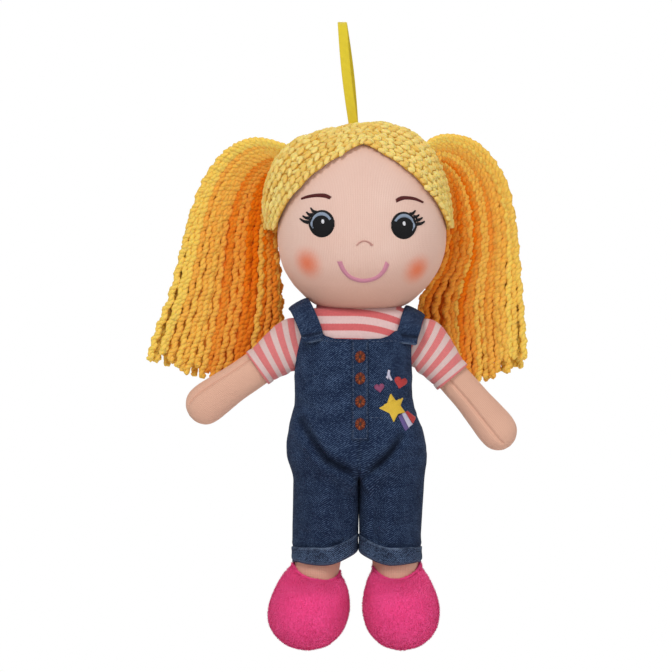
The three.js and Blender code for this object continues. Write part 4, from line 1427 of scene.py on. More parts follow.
# %% [markdown]
# ## Shirt and neck
# Under the dungarees the doll wears a striped jersey shirt over a stuffed body bag. Only the
# neckline and two narrow strips beside the bib show, but the whole form is there, so nothing
# gapes when the legs lift. It is lofted from the body's table of swells.

# %% Body form
body_power = 2.4
shoulder_level = chin - 1.5
torso_height, torso_half, torso_depth = 99.0, 39.0, 22.0
torso_shares = [
    (0, 0.6, 0.5), (0.02, 0.78, 0.66), (0.06, 0.9, 0.8), (0.14, 0.92, 0.89), (0.4, 0.885, 0.98),
    (0.57, 0.885, 1), (0.7, 0.96, 1), (0.8, 1, 0.96), (1, 0.975, 0.8),
]
torso_curve = smooth_rows(torso_shares, 12)
torso_falls = [fall for fall, _, _ in torso_curve]
right_side = [  # level and how much the doll's right side, as seen, is drawn in or let out, in mm
    (-168, -1.5), (-180, -3.2), (-192, -4.6), (-206, -5.2), (-213, -4.8), (-221, -3.8), (-229, -2.8),
    (-238, -2.2), (-246, -1.1), (-254, -0.6), (-320, -0.6),
]


def torso_at(level):
    """Half width and half depth of the body at a level in mm."""
    at, share = stretch_at(torso_falls, clamp((shoulder_level - level) / torso_height))
    half, depth = (a + (b - a) * share for a, b in zip(torso_curve[at][1:], torso_curve[at + 1][1:]))
    return half * torso_half, depth * torso_depth


def side_extra(side, level):
    """The doll leans a little to the left, so its two sides are not alike."""
    return 1.5 * clamp((-168 - level) / 20) if side < 0 else look_up(right_side, level, 0.0)


# %% Shirt and neck pieces
shirt_columns, shirt_rows, shirt_length = 72, 60, 77
shirt_top = [(0, 1.2), (0.4, 1.4), (0.6, 2.0), (0.78, 2.3), (0.92, 1.9), (1.0, 0.9)]  # share, lift in mm
neck_rows = [(-155.5, 0), (-155.6, 8), (-157, 11), (-159, 11.4), (-161, 11.8), (-165, 12.2), (-166, 0)]


def shirt_point(turn, level):
    half, depth = torso_at(level)
    inset = 0.3 + 4.5 * clamp((-206 - level) / 14)
    x, y = oval(turn, half - inset, depth - inset, body_power)
    x *= 1 + side_extra(1 if x > 0 else -1, level) / half
    wrinkle = 0.35 * noise.noise(Vector((x, y, level)) * 0.09)
    return spot(x * (1 + wrinkle / 60), y * (1 + wrinkle / 30), level)


def make_shirt():
    levels = [shoulder_level - 0.3 - shirt_length * i / shirt_rows for i in range(shirt_rows + 1)]
    rings = rings_of(([level] for level in levels), shirt_columns, shirt_point)
    edge = [in_mm(p) for p in rings[0]]
    top = [[spot(p.x * share, p.y * share, shoulder_level + lift) for p in edge] for share, lift in shirt_top]
    low = [spot(0, 0, levels[-1])] * shirt_columns
    made = piece("shirt_body", grid_mesh("shirt_body", [*top, *rings, low]), jersey_body)
    dress(made, "jersey", "torso", "shirt", "torso_skin", "torso_stuffing", fill=0.8)


def neck_point(turn, level, radius):
    return spot(radius * math.cos(turn), radius * math.sin(turn), level)


def make_neck():
    mesh = grid_mesh("neck_skin", rings_of(smooth_rows(neck_rows, 3), 32, neck_point))
    dress(piece("neck_skin", mesh, skin), "skin", "torso", "neck", fill=0.9)


make_shirt()
make_neck()

# %% [markdown]
# ## The dungarees
# Each half of the dungarees is one piece of denim: bib and back above, then the hip, then a
# trouser leg. The halves meet in the middle seam. Above the hip a half is an open sheet round
# the body, and below it closes into a tube, so a leg can swing without opening a hole. The
# creases at the crotch and waist are pushed in as short furrows, then the denim gets its
# thickness.

# %% Upper edge and furrows
denim_wall = 1.2
hip_gap = 0.9  # the denim's distance from the body form
crotch_level, trouser_end, open_level = -260.0, -307.5, -234.0
bib_edge = [  # distance from the middle, and level
    (0, -180.8), (11.5, -180.4), (17, -178.8), (21, -176), (28.5, -176.3), (32.6, -179.5), (34.6, -187),
    (36.6, -195), (37.8, -201.5),
]
furrows = [  # the creases of the denim: a line of (x, z) in mm, its depth and its width
    ([(-33, -227), (-24.5, -241), (-18, -249.6), (-10.3, -253.2), (-4.9, -256.1), (-0.5, -261)], 4.6, 2.3),
    ([(24, -236), (20, -242), (16, -246.7), (11.5, -250.8), (6.7, -255), (0.8, -261)], 4.2, 2.3),
    ([(-37, -243), (-30, -246)], 0.9, 2.2), ([(38, -246), (30, -248)], 0.9, 2.2),
    ([(-35, -216), (-25, -221)], 0.7, 2.6), ([(34, -208), (24, -215)], 0.8, 2.6),
    ([(-24, -262), (-12, -266), (-3, -275)], 0.8, 2.4), ([(26, -261), (13, -266), (3, -275)], 0.8, 2.4),
    ([(-24, -288), (-19, -296), (-12, -299)], 1.3, 2.0), ([(-34, -290), (-25, -292)], 0.7, 2.2),
    ([(30, -284), (14, -291)], 0.7, 2.4), ([(12, -296), (6, -291)], 0.8, 2.0),
    ([(-60, -298.6), (-18, -298.8), (-10, -297.4), (-4, -294.6), (4, -285)], 1.1, 0.9),
    ([(60, -298.6), (16, -298.4), (9, -297.2), (4, -294.6), (-4, -285)], 1.1, 0.9),
]


def edge_level(part):
    """The denim's upper edge: part is 0 at the middle of the front, 0.5 at the side, 1 at the back."""
    side = 1 - abs(part * 2 - 1)
    return look_up(bib_edge, 38 * math.sin(side * math.pi / 2))


def furrow_depth(x, z):
    """How far the denim is pushed in at a place: a groove with a soft swell beside it."""
    total = 0.0
    for line, depth, width in furrows:
        near, where = 99.0, 0.0
        for k, ((x0, z0), (x1, z1)) in enumerate(zip(line, line[1:])):
            dx, dz = x1 - x0, z1 - z0
            share = clamp(((x - x0) * dx + (z - z0) * dz) / (dx * dx + dz * dz))
            away = math.hypot(x - x0 - dx * share, z - z0 - dz * share)
            if away < near:
                near, where = away, (k + share) / (len(line) - 1)
        fade = math.sin(math.pi * (0.12 + 0.76 * where)) ** 0.7
        total += depth * fade * (bell(near, width) - 0.4 * bell(near - 2.2 * width, 1.3 * width))
    return total


# %% Course of the denim
leg_power, leg_half, leg_depth = 2.6, 18.9, 15.6
leg_shift, leg_slim = {-1: 0.15, 1: -1.3}, {-1: -0.1, 1: -1.3}
inner_from = 118  # degrees round a leg, from its outer side, at which its inner part begins


def leg_centre(level):
    """The middle of a trouser leg at a level, from the doll's middle."""
    return 18.6 + 0.5 * clamp((crotch_level - level) / (crotch_level - trouser_end))


def half_point(side, part, level):
    """part runs 0 to 1 round the outside from front to back, then 1 to 2 back along the middle."""
    half, depth = torso_at(level)
    slim = clamp((-258 - level) / 34)
    seam_near = abs(2 * part - 1) ** 3 if part <= 1 else 1.0
    legward = ease(clamp((-246.0 - 11.0 * seam_near - level) / 16.0))
    if part <= 1:
        wide = half + hip_gap + side_extra(side, level)
        x, y = oval(math.pi * (part - 0.5), wide, depth + hip_gap, body_power)
        x = max(x, -0.1)
        leg_turn = math.radians(inner_from * (2 * part - 1))
    else:
        x, y = -0.1, (depth + hip_gap) * (1 - 2 * (part - 1))
        leg_turn = math.radians(inner_from + (360 - 2 * inner_from) * (part - 1))
    lx, ly = oval(leg_turn, leg_half + leg_slim[side] * slim, leg_depth, leg_power)
    lx += leg_centre(level) + leg_shift[side] * slim
    return side * (x + (lx - x) * legward), y + (ly + 0.5 - y) * legward


def hem_lift(side, x, level):
    """The trouser end rises towards the inner side of the leg."""
    lean = max(0.0, (leg_centre(level) - x * side) / 18)
    return 7.0 * lean ** 1.6 * clamp((-280 - level) / 22)


def creased(side, x, y, level):
    """A point of the outside, pushed in by the furrows and the cloth's own unevenness."""
    deep = furrow_depth(x, level) if y < 0 else 0.6 * furrow_depth(-x, level)
    ripple = 0.5 * noise.noise(Vector((x * 0.06, y * 0.06, level * 0.045)))
    inward = (deep - ripple) * clamp((level - trouser_end) / 6)
    reach = max(math.hypot(x - side * 16, y), 1)
    return x - (x - side * 16) / reach * inward * 0.6, y - y / reach * inward


# %% Rings of a denim half
outer_columns, inner_columns, upper_rows, lower_rows = 92, 20, 46, 66
column_pitch = 0.00092  # metres of cloth from one column to the next
deepest_fold, leg_shade = 3.2, 0.3


def denim_level(top, i):
    """The level of row i: the upper rows lie above the opening's end, the lower ones below it."""
    if i <= upper_rows:
        return top + (open_level - top) * i / upper_rows
    return open_level + (trouser_end - open_level) * (i - upper_rows) / lower_rows


def denim_rings(side):
    rings = []
    for i in range(upper_rows + lower_rows + 1):
        ring = []
        for j in range(outer_columns + inner_columns):
            if j <= outer_columns:
                level = denim_level(edge_level(j / outer_columns), i)
                x, y = creased(side, *half_point(side, j / outer_columns, level), level)
            else:
                level = denim_level(open_level, i)
                x, y = half_point(side, 1 + (j - outer_columns) / inner_columns, level)
            ring.append((x, y, level + hem_lift(side, x, level)))
        rings.append(ring)
    return rings


# %% Denim halves


def fold_shade(p):
    """Painted shade in the folds at the front, and a little darker down the legs."""
    x, _, level = in_mm(p)
    fold = furrow_depth(x, level) / deepest_fold if p.y < -0.004 else 0.0
    return clamp(max(fold, leg_shade * min(1, (-236 - level) / 18)))


def make_half(side):
    rings = denim_rings(side)
    count = outer_columns + inner_columns
    bm = bmesh.new()
    uv = bm.loops.layers.uv.new("cloth")
    verts = {}

    def vert(i, j):
        if (i, j) not in verts:
            verts[(i, j)] = bm.verts.new(spot(*rings[i][j]))
        return verts[(i, j)]

    for i in range(len(rings) - 1):
        for j in range(outer_columns if i < upper_rows else count):
            k = (j + 1) % count
            corners = [(i, j, j), (i, k, j + 1), (i + 1, k, j + 1), (i + 1, j, j)]
            face = bm.faces.new([vert(a, b) for a, b, _ in corners])
            face.smooth = True
            for loop, (a, _, across) in zip(face.loops, corners):
                loop[uv].uv = (across * column_pitch * side, rings[a][min(across, outer_columns)][2] * mm)
    bmesh.ops.remove_doubles(bm, verts=bm.verts, dist=merge_distance)
    bmesh.ops.recalc_face_normals(bm, faces=bm.faces)
    outside = [face for face in bm.faces if abs(face.calc_center_median().y) < 0.01
               and (face.calc_center_median().x - doll_axis * mm) * side > 0.03]
    if sum(face.normal.x * side * face.calc_area() for face in outside) < 0:
        bmesh.ops.reverse_faces(bm, faces=bm.faces)
    mesh = bpy.data.meshes.new(f"denim_{sides[side]}")
    bm.to_mesh(mesh)
    bm.free()
    made = piece(f"dungarees_{sides[side]}", mesh, denim)
    paint(mesh, "crease", fold_shade)
    thicken(made, denim_wall)
    return settle(made)


dungarees = {side: make_half(side) for side in sides}

# %% Surface of the bib
seam_gap, flattest = 1.2, -0.3
bib_tree = surface_of(*dungarees.values())


def on_bib(x, level, lift):
    """The point of the denim's front at x and a level, in mm, lifted off the cloth."""
    probe = math.copysign(max(abs(x), seam_gap), x)  # beside the middle seam, not in it
    hit, normal, _, _ = bib_tree.ray_cast(spot(probe, -120, level), Vector((0, 1, 0)))
    if hit is None:
        half, depth = torso_at(level)
        round_share = max(0.0, 1 - abs(x / half) ** body_power) ** (1 / body_power)
        return spot(x, -depth * round_share - lift - 1, level)
    hit.x = (doll_axis + x) * mm
    normal = Vector((normal.x, min(normal.y, flattest), normal.z)).normalized()
    return hit + normal * lift * mm


for side, made in dungarees.items():
    word = sides[side]
    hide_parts("overalls_front" if side < 0 else "overalls_back", f"trouser_{word}")
    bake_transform(made)
    print(made.name, len(made.data.polygons), "faces")

# %% [markdown]
# ## Cuffs
# The trouser ends are turned up, so the pale reverse of the denim shows. A cuff is a short
# band with its own thickness, a little wider than the leg, higher at the inner side.

# %% Cuffs
cuff_depth, cuff_power, cuff_reach, cuff_columns = 15.2, 2.7, 18.4, 88
cuff_places = {-1: (19.4, 16.8), 1: (17.85, 15.9)}  # the middle and the half width
cuff_rows = [  # fall from the upper edge as a share, and how far out in mm
    (0.12, 0.2), (0.03, 0.5), (-0.03, 1.3), (-0.01, 2.1), (0.1, 2.3), (0.35, 2.2), (0.65, 2.2), (0.9, 2.2),
    (1.0, 1.7), (1.03, 0.9), (0.96, 0.2), (0.6, 0.0), (0.3, 0.0),
]


def cuff_lines(lean):
    """The cuff's upper and lower edge: lean is 1 at the inner side of the leg and -1 outside."""
    inner, outer = max(lean, 0) ** 1.6, max(-lean, 0) ** 2
    return -299.4 + 7.8 * inner + 0.4 * outer, -309.0 + 7.4 * inner + 2.6 * outer


def make_cuff(side):
    word = sides[side]
    middle, half = cuff_places[side]

    def place(turn, fall, out):
        x, y = oval(turn, half + out, cuff_depth + out, cuff_power)
        upper, lower = cuff_lines(-x * side / cuff_reach)
        wave = 0.3 * noise.noise(Vector((math.cos(turn) * 2, math.sin(turn) * 2, fall * 2 + side)))
        return spot(side * middle + x * (1 + wave / 18), y * (1 + wave / 18) + 0.5,
                    upper + (lower - upper) * fall + wave)

    # wear along both edges, and a painted highlight along the upper fold
    def edge_wear_and_highlight(p):
        x, _, level = in_mm(p)
        upper, lower = cuff_lines(-(x - side * middle) * side / cuff_reach)
        return bell(level - upper, 0.9) + 0.5 * bell(level - lower, 1.0)

    rings = rings_of(smooth_rows(cuff_rows, 4), cuff_columns, place)
    mesh = grid_mesh(f"cuff_band_{word}", [*rings, rings[0]])
    paint(mesh, "wear", edge_wear_and_highlight)
    dress(piece(f"cuff_band_{word}", mesh, denim_reverse), "denim", f"leg_{word}", f"cuff_{word}")


for side in sides:
    make_cuff(side)

# %% [markdown]
# ## Straps, placket and stitching
# The straps are doubled denim, sewn to the bib with a hem, and run over the shoulders to the
# back. The placket is a stitched band down the middle of the bib. All are laid on the cloth
# below and rounded at their edges, and lines of stitches run beside the edges.

# %% Straps
strap_width, strap_wall, strap_power, strap_columns = 12.6, 1.8, 4.5, 32
strap_line = {  # x, y, z of the strap's middle in mm, from the bib over the shoulder to the back
    -1: [(-26.2, None, -181.6), (-27.0, -21.2, -177), (-29.6, -17.8, -170), (-32.6, -12.5, -163.6),
         (-34.2, -6, -160.9), (-34.8, 0, -160.4), (-34.0, 6, -161.2), (-32.0, 12.5, -165),
         (-29.5, 17.8, -172), (-27.6, 20.8, -182), (-27, 21.5, -188)],
    1: [(26.6, None, -183.6), (27.2, None, -179.2), (28.8, -17.8, -174), (30.4, -12.5, -168.4),
        (31.8, -6, -165.2), (32.2, 0, -164.4), (31.8, 6, -165), (30.6, 12.5, -168),
        (28.5, 17.8, -174), (26.6, 20.8, -183), (26, 21.5, -189)],
}


def make_strap(side):
    word = sides[side]
    line = [(x, on_bib(x, z, 1.7).y / mm if y is None else y, z) for x, y, z in strap_line[side]]
    course = [Vector(point) for point in smooth_rows(line, 9)]
    onward = (course[9] - course[0]).normalized()

    def place(turn, i, here):
        share = i / (len(course) - 1)
        ahead = neighbours(course, i)
        wide = square_to(Vector((1, 0, -side * (0.17 + 0.4 * clamp((here.z + 184) / 22)))), ahead)
        up = wide.cross(ahead).normalized()
        hem = 0.75 * math.exp(-((share / 0.045) ** 4)) - 0.35 * bell(share - 0.075, 0.014)
        half = strap_width / 2 * min(1.0, 0.86 + share * 6, 0.86 + (1 - share) * 6)
        x, y = oval(turn, half, strap_wall / 2 + 0.1 + hem, strap_power)
        return spot(*(here + wide * x + up * (y - 0.014 * x * x)))

    def band(p, at, width):
        """1 in a band across the strap, at a distance in mm from its end on the bib."""
        return bell((in_mm(p) - course[0]).dot(onward) - at, width)

    rings = rings_of(enumerate(course), strap_columns, place)
    mesh = grid_mesh(f"strap_{word}_denim", capped(rings, spot(*course[0]), spot(*course[-1])))
    paint(mesh, "wear", lambda p: 1.1 * band(p, 0.0, 0.9) + 0.5 * band(p, 3.6, 0.5))
    # painted shade: a dark line across the strap beside its hem
    paint(mesh, "crease", lambda p: 0.9 * band(p, 4.7, 0.7))
    dress(piece(f"strap_{word}_denim", mesh, denim), "denim", "torso", f"strap_{word}")


for side in sides:
    make_strap(side)

# %% Placket
placket_middle, placket_half = 0.5, 4.9
placket_top, placket_end = -180.2, -238.2
placket_lift, placket_sink = 1.5, 0.9
placket_columns, placket_rows = 22, 90


def make_placket():
    """A band laid on the bib: raised in the middle and turned down to the cloth at its edges."""
    start, rings = placket_top - 0.6, []
    for i in range(placket_rows + 1):
        level = start + (placket_end - start) * i / placket_rows
        ring = []
        for j in range(placket_columns + 1):
            x = placket_middle + placket_half * (2 * j / placket_columns - 1)
            edge = min(1.0, min(j, placket_columns - j, i if i < 2 else 9, placket_rows - i) / 1.4)
            ring.append(on_bib(x, level, (placket_lift + placket_sink) * edge ** 0.5 - placket_sink))
        rings.append(ring)
    made = piece("placket_band", grid_mesh("placket_band", rings, closed=False), denim)
    # painted shade: dark lines along both edges of the band, where it stands off the bib
    paint(made.data, "crease",
          lambda p: 0.8 * bell(abs(in_mm(p).x - placket_middle) - placket_half, 0.45))
    thicken(made, 0.5)
    dress(made, "denim", "torso", "placket")
    return settle(made)


bib_tree = surface_of(*dungarees.values(), make_placket())

# %% Stitch lines
stitch_thread = thread_finish("stitch_thread", (78, 94, 124), 0.7)
dash_length, dash_gap = 1.7, 0.9
dash_arch = [(0, -0.23), (0.2, 0.17), (0.5, 0.24), (0.8, 0.17), (1, -0.23)]  # share of it, height in mm
left_seam, right_seam = placket_middle - 3.9, placket_middle + 3.9


def dashes(points):
    """Running stitches along a line: short threads that dip into the cloth at both ends."""
    line = smooth_rows(points, 10)
    lengths = running_lengths(line)
    paths, goal = [], dash_gap
    while goal + dash_length < lengths[-1]:
        path = []
        for part, lift in dash_arch:
            at, share = stretch_at(lengths, goal + dash_length * part)
            path.append(on_bib(*(p + (q - p) * share for p, q in zip(line[at], line[at + 1])), lift))
        paths.append(path)
        goal += dash_length + dash_gap
    return paths


stitch_lines = [
    *([(x, placket_top - 1.5), (x, -210), (x, placket_end + 1)] for x in (left_seam, right_seam)),
    [(left_seam, placket_end + 1.2), (right_seam, placket_end + 1.2)],
    *([(side * 6.2, -182.2), (side * 20, -181.8), (side * 20.6, -181.8)] for side in sides),
    [(5.6, -225.0), (10, -225.2), (14.2, -225.6)],
]
stitches = threads("denim_stitches", [path for line in stitch_lines for path in dashes(line)], 0.2,
                   stitch_thread, 5)
dress(stitches, "denim", "torso")

# %% [markdown]
# ## Buttons and the embroidered motif
# The buttons are stitched, not sewn on: a ring of threads that run out from a dark middle.
# Beside them a small star flies over the bib with a three-coloured tail, two hearts and a
# spark. The star, the hearts and the sizes are common ornament, filled with satin threads.

# %% Buttons
brown_thread = thread_finish("brown_thread", (104, 38, 16), 0.6, 0.3, 0.0)
amber_thread = thread_finish("amber_thread", (168, 78, 28), 0.6, 0.3, 0.0)
dark_thread = thread_finish("dark_thread", (58, 26, 20), 0.6)
button_levels = [-190.8, -203.0, -216.1, -228.8]
button_middle, button_half, button_tall, button_spokes = 0.6, 2.85, 3.35, 30
button_arch = [(0, 0.0), (0.3, 0.75), (0.65, 0.7), (1, -0.2)]  # share of the way out, height in mm


def make_button(index, level):
    spokes, ring = [], []
    for k in range(button_spokes):
        turn = math.tau * k / button_spokes
        (x0, y0), (x1, y1) = (
            (button_middle + button_half * out * math.cos(at), level + button_tall * out * math.sin(at))
            for out, at in ((0.3, turn - 0.25), (1, turn)))
        path = [on_bib(x0 + (x1 - x0) * s, y0 + (y1 - y0) * s, lift) for s, lift in button_arch]
        (ring if k % 5 == 2 or k % 7 == 0 else spokes).append(path)
    outline = ring_outline(button_middle, level, button_half * 0.34, button_tall * 0.34, 10)
    middle = satin(outline, on_bib, 0.2, 0.34, 0.2, 0.1, 4)
    made = join(f"button_stitches_{index}", threads("spokes", spokes, 0.27, brown_thread),
                threads("ring", ring, 0.25, amber_thread), threads("middle", middle, 0.25, dark_thread))
    dress(made, "buttons", "torso", f"button_{index}")


for index, level in enumerate(button_levels, 1):
    make_button(index, level)

# %% Star, hearts and spark
gold_thread = thread_finish("gold_thread", (240, 200, 52), 0.4)
red_thread = thread_finish("red_thread", (196, 48, 48), 0.45)
rose_thread = thread_finish("rose_thread", (150, 66, 108), 0.45)
lilac_thread = thread_finish("lilac_thread", (104, 84, 150), 0.45)
pale_thread = thread_finish("pale_thread", (214, 210, 230), 0.45)


def bib_marks(*marks):
    """Places in the photograph as x and level on the bib, in mm."""
    return [((x - 359) * face_px, -(y - 22) * face_px) for x, y in marks]


def heart_shape(place, size, turn):
    (cx, cy), c, s = bib_marks(place)[0], math.cos(turn), math.sin(turn)
    shape = []
    for k in range(28):
        t = math.tau * k / 28
        x = size * math.sin(t) ** 3
        y = size * (13 * math.cos(t) - 5 * math.cos(2 * t) - 2 * math.cos(3 * t) - math.cos(4 * t)) / 16
        shape.append((cx + x * c - y * s, cy + x * s + y * c))
    return shape


def motif(name, shape, material, node_name, slot_name, angle):
    made = threads(name, satin(shape, on_bib, angle, 0.34, 0.25, 0.4, 5), 0.23, material)
    dress(made, slot_name, "torso", node_name)


star_shape = bib_marks((390.2, 393), (395.2, 400.2), (403, 397.6), (400, 405), (404.6, 411.8), (397.8, 413.4),
                       (393.2, 421.2), (389.2, 412.8), (379, 407.8), (387, 402.2))
motif("star_stitches", star_shape, gold_thread, "star", "gold", 0.5)
motif("red_heart_stitches", heart_shape((400.2, 382), 3.7, -0.25), red_thread, "heart", "red", 0.3)
motif("rose_heart_stitches", heart_shape((379.1, 387.4), 2.8, 0.15), rose_thread, "dot", "red", 0.1)
spark_lines = stroke(bib_marks((388.7, 370.3), (388.3, 374.8), (390.9, 379.8)), [1.0, 1.4, 0.9],
                     on_bib, 0.32, 0.4)
spark_lines += stroke(bib_marks((388.2, 375), (386.6, 377.9)), [1.0, 1.4], on_bib, 0.32, 0.4)
dress(threads("spark_stitches", spark_lines, 0.22, pale_thread), "pale", "torso", "spark")
tail_bands = [
    (bib_marks((397.8, 415.6), (401.2, 413.6), (408, 427.4), (404.8, 430.2)), lilac_thread),
    (bib_marks((401.5, 413.4), (404.6, 411.9), (412, 423.6), (408.3, 427)), pale_thread),
    (bib_marks((404.9, 411.7), (406.9, 410.4), (415.6, 417), (412.3, 423)), red_thread),
]
bands = [threads(f"tail_band_{i}", satin(shape, on_bib, 0.9, 0.34, 0.22, 0.3, 5), 0.22, thread)
         for i, (shape, thread) in enumerate(tail_bands)]
dress(join("star_tail_stitches", *bands), "lilac", "torso", "star_tail")

# %% [markdown]
# ## Arms and sleeves
# An arm is a soft tube of jersey with a mitten hand and no fingers, sewn to the shoulder, so
# it swings there. Arm and sleeve are drawn hanging and then turned out to their rest droop.

# %% Arm forms
arm_columns = 96
shoulder_reach, shoulder_z = 36.0, -182.0
arm_reach, hand_half, arm_depth = {-1: 74.0, 1: 78.0}, 10.8, 8.7
arm_swing = {-1: 54.9, 1: 40.0}
arm_full = {-1: 1.18, 1: 1.1}
hand_slim = {-1: 0.10, 1: 0.07}  # share by which each hand is narrower than that
arm_seam = {-1: 1.5 * math.pi - 0.72, 1: 1.5 * math.pi - 0.3}  # where the seam runs round each arm
arm_shares = [  # fall from the shoulder, half width, half depth
    (0.1, 0.0, 0.0), (0.12, 0.7, 0.7), (0.14, 0.97, 0.98), (0.24, 0.86, 0.95), (0.34, 0.8, 0.92),
    (0.56, 0.84, 0.94), (0.74, 0.96, 0.98), (0.86, 1, 1), (0.935, 0.83, 0.84), (0.985, 0.44, 0.5), (1, 0, 0),
]


def arm_turn(side):
    """How far an arm is turned out, in radians about the Y axis."""
    return math.radians(arm_swing[side]) * side


def arm_spot(side, x, y, z):
    """A point of the hanging arm, turned out about the shoulder."""
    c, s = math.cos(arm_turn(side)), math.sin(arm_turn(side))
    return spot(side * shoulder_reach + x * c - z * s, y, shoulder_z + x * s + z * c)


def make_arm(side):
    word = sides[side]

    def place(turn, fall, half, depth):
        slimmer = 1 - hand_slim[side] * clamp((fall - 0.4) / 0.45)
        bend = 1.2 * math.sin(math.pi * clamp((fall - 0.3) / 0.7)) * side * 0.4
        x, y = oval(turn, half * hand_half * arm_full[side] * slimmer, depth * arm_depth, 2.0)
        dent = 0.25 * noise.noise(Vector((x, y, fall * 75)) * 0.12)
        dent -= 1.9 * bell(turn - arm_seam[side], 0.09) * (0.3 < fall < 0.95)
        return arm_spot(side, x * (1 + dent / 12) + bend, y * (1 + dent / 12), -fall * arm_reach[side])

    mesh = grid_mesh(f"arm_{word}_jersey", rings_of(swells(arm_shares, 6), arm_columns, place))
    made = piece(f"arm_{word}_jersey", mesh, skin)
    soften(made)
    dress(made, "skin", f"arm_{word}", f"arm_skin_{word}", f"arm_stuffing_{word}", fill=0.8)


# %% Sleeves
sleeve_columns = 64
sleeve_rows = [  # fall along the arm, half width, half depth, in mm; the last rows turn in at the hem
    (-11, 0, 0), (-10.6, 5.5, 4), (-8.5, 10, 7.4), (-4, 13.2, 9.4), (2, 14.2, 10.3), (8, 13.6, 10.6),
    (14, 12.6, 10.6), (19, 11.6, 10.3), (22, 11.2, 10.0), (22.8, 10.8, 9.6), (23.6, 11.2, 10.0),
    (25.6, 11.3, 10.1), (26.6, 11.2, 10.0), (26.9, 10.9, 9.7), (26.2, 10.3, 9.2), (22, 10.0, 9.0),
    (18, 9.8, 8.9), (17.5, 0, 0),
]


def lay_stripes(mesh, side):
    """Counts the sleeve's cloth from its cuff, and spreads it under the arm, where it is gathered."""
    pivot = spot(side * shoulder_reach, 0, shoulder_z)
    back_turn = Matrix.Rotation(arm_turn(side), 3, "Y")
    places = mesh.uv_layers["cloth"].data
    for loop in mesh.loops:
        local = back_turn @ (mesh.vertices[loop.vertex_index].co - pivot)
        under = clamp(0.5 - local.x * side / 0.026)
        places[loop.index].uv.y = (0.0245 + local.z) * (1 + 0.55 * under) + 0.0064


def make_sleeve(side):
    word = sides[side]

    def place(turn, fall, half, depth):
        x, y = oval(turn, half, depth, 2.1)
        under = max(0.0, -x * side / 14)
        fold = math.sin(fall * 0.9 + 5 * turn) * bell(fall - 8, 8) * (0.3 + under)
        return arm_spot(side, x * (1 + fold / 22), y * (1 + fold / 22), -fall)

    mesh = grid_mesh(f"sleeve_{word}_jersey", rings_of(swells(sleeve_rows, 4), sleeve_columns, place))
    lay_stripes(mesh, side)
    made = piece(f"sleeve_{word}_jersey", mesh, jersey_sleeve)
    soften(made)
    dress(made, "jersey", f"arm_{word}", f"sleeve_{word}", fill=0.5)


for side in sides:
    make_arm(side)
    make_sleeve(side)

# %% [markdown]
# ## Ankles and plush shoes
# Below the cuff a short stretch of the jersey leg shows, sewn into a round plush shoe that is
# the foot itself. The shoe's upper edge rolls in round the ankle and dips at the front. Its
# pile is real short hair, grown from the surface by a tree with a fixed seed.

# %% Legs
ankle_place = {-1: 23.6, 1: 20.9}
ankle_rows = [  # level, middle and radius in mm
    (-276, 18.7, 0), (-276.5, 18.7, 11.5), (-288, 19.1, 12.4), (-300, 20.6, 13.0), (-308, 21.3, 13.0),
    (-314, 21.7, 12.8), (-322, 21.8, 12.4), (-330, 21.8, 11.5), (-331, 21.8, 0),
]


def make_ankle(side):
    word = sides[side]

    def place(turn, level, middle, radius):
        c, s = math.cos(turn), math.sin(turn)
        dent = 0.5 * noise.noise(Vector((c * 1.3, s * 1.3 + side, level * 0.12)))
        out = max(radius, 0) + dent * (radius > 1)
        return spot(side * (middle + ankle_place[side] - 21.3) + out * c, out * s, level)

    mesh = grid_mesh(f"leg_{word}_jersey", rings_of(smooth_rows(ankle_rows, 5), 48, place))
    made = piece(f"leg_{word}_jersey", mesh, skin)
    dress(made, "skin", f"leg_{word}", f"leg_skin_{word}", f"leg_stuffing_{word}", fill=0.8)


for side in sides:
    make_ankle(side)

# %% Pile


def build_pile_tree():
    tree, given, leave = new_tree("short_pile", {"Count Per Area": 2400000.0, "Length": 0.001, "Seed": 5})
    spread = node(tree, "GeometryNodeDistributePointsOnFaces", {
        "Mesh": given["Geometry"], "Density": given["Count Per Area"], "Seed": given["Seed"]})
    hair = node(tree, "GeometryNodeMeshCone", {
        "Vertices": 3, "Radius Top": 0.0, "Radius Bottom": 0.00015, "Depth": given["Length"]})
    lean = node(tree, "FunctionNodeRandomValue", {
        0: (-0.55, -0.55, 0.0), 1: (0.55, 0.55, 3.1), "Seed": given["Seed"]}, data_type="FLOAT_VECTOR")
    turned = node(tree, "FunctionNodeRotateRotation", {
        "Rotation": spread.outputs["Rotation"], "Rotate By": lean.outputs[0]}, rotation_space="LOCAL")
    size = node(tree, "FunctionNodeRandomValue", {2: 0.6, 3: 1.2, "Seed": given["Seed"]}, data_type="FLOAT")
    hairs = node(tree, "GeometryNodeInstanceOnPoints", {
        "Points": spread.outputs["Points"], "Instance": hair.outputs["Mesh"],
        "Rotation": turned.outputs[0], "Scale": size.outputs[1]})
    both = node(tree, "GeometryNodeJoinGeometry")
    tree.links.new(hairs.outputs[0], both.inputs[0])
    tree.links.new(given["Geometry"], both.inputs[0])
    return end_tree(tree, leave, both.outputs[0], given["Material"])


pile_tree = build_pile_tree()
print("tree", pile_tree.name)

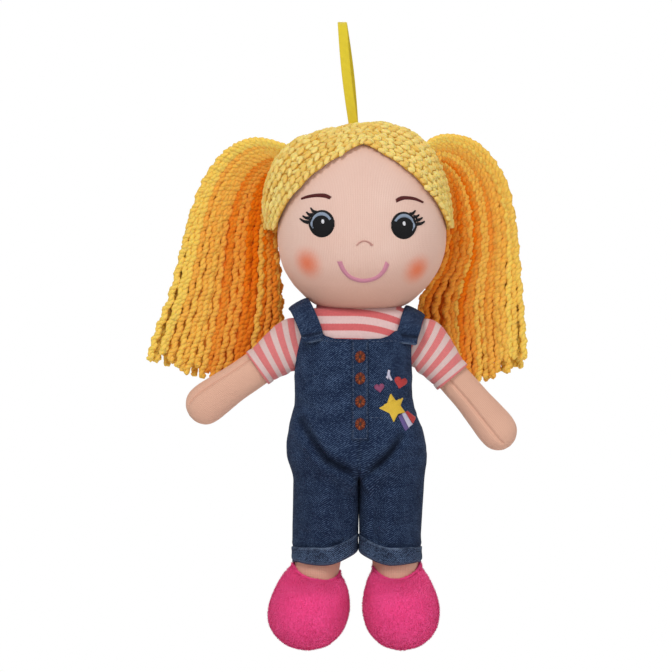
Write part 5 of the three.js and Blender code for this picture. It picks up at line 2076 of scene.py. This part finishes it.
# %% Shoes
shoe_middle, shoe_half, shoe_depth = {-1: 29.3, 1: 24.2}, {-1: 22.7, 1: 21.5}, 29.0
shoe_forward, shoe_top, shoe_height = 12.0, -308.3, 49.0
shoe_open = {-1: 5.0, 1: 1.0}  # how much lower the opening is at its inner side, in mm
shoe_shares = [  # rise, half, depth, forward and outward shares
    (0.93, 0.66, 0.55, 0.1, 0.3), (0.83, 0.79, 0.72, 0.45, 0.45), (0.66, 0.93, 0.93, 0.85, 0.66),
    (0.48, 1, 1, 1, 0.86), (0.32, 0.95, 0.97, 1.03, 1), (0.21, 0.84, 0.89, 1.02, 1),
    (0.12, 0.66, 0.74, 1, 1.03), (0.05, 0.43, 0.5, 0.95, 1), (0, 0, 0, 0.93, 1),
]
shoe_columns, shoe_power = 64, 2.15
collar_rows = [  # radius and lift in mm, from inside the ankle over the rolled edge to the outside
    (0.0, -8.4), (11.8, -8.0), (12.4, -3.0), (12.8, 0.0), (13.3, 0.7), (13.8, 1.0), (14.3, 0.7), (14.6, 0.1),
    (14.4, -0.6),
]


def make_shoe(side):
    word, ankle = sides[side], ankle_place[side]

    def front(turn):
        return max(0.0, -math.sin(turn)) ** 1.3

    def inside(turn):
        return max(0.0, -side * math.cos(turn))

    def collar(turn, radius, lift):
        dip = 8.5 * front(turn) - 1.0 * abs(math.cos(turn)) + inside(turn) * shoe_open[side]
        tucked = radius - (1.1 * inside(turn) if radius > 12.6 else 0.0)
        return spot(side * (ankle + 0.2) + tucked * math.cos(turn), tucked * math.sin(turn) - 0.3,
                    shoe_top - 1.6 + lift - dip * 0.92)

    def upper(turn, rise, half, depth, forward, out):
        x, y = oval(turn, half * shoe_half[side], depth * shoe_depth, shoe_power)
        sag = (7.0 * front(turn) + inside(turn) * shoe_open[side]) * max(0.0, (rise - 0.6) / 0.4) ** 1.3
        z = shoe_top - shoe_height * (1 - rise) - sag
        pucker = 0.35 * noise.noise(Vector((x * 0.09 + side * 3, y * 0.09, z * 0.09)))
        middle = side * (ankle + (shoe_middle[side] - ankle) * out)
        return spot(middle + x * (1 + pucker / 25), y * (1 + pucker / 25) - forward * shoe_forward, z)

    rings = rings_of(smooth_rows(collar_rows, 3), shoe_columns, collar)
    rings += rings_of(swells(shoe_shares, 6), shoe_columns, upper)
    base = piece(f"shoe_{word}_form", grid_mesh(f"shoe_{word}_form", rings), plush)
    soften(base)
    settle(base)
    made = grow(f"shoe_{word}_plush", base.data.copy(), pile_tree, Material=plush)
    bpy.data.objects.remove(base)
    dress(made, "plush", f"leg_{word}", f"shoe_upper_{word}", f"shoe_sole_{word}", f"foot_stuffing_{word}",
          fill=0.9)


for side in sides:
    make_shoe(side)
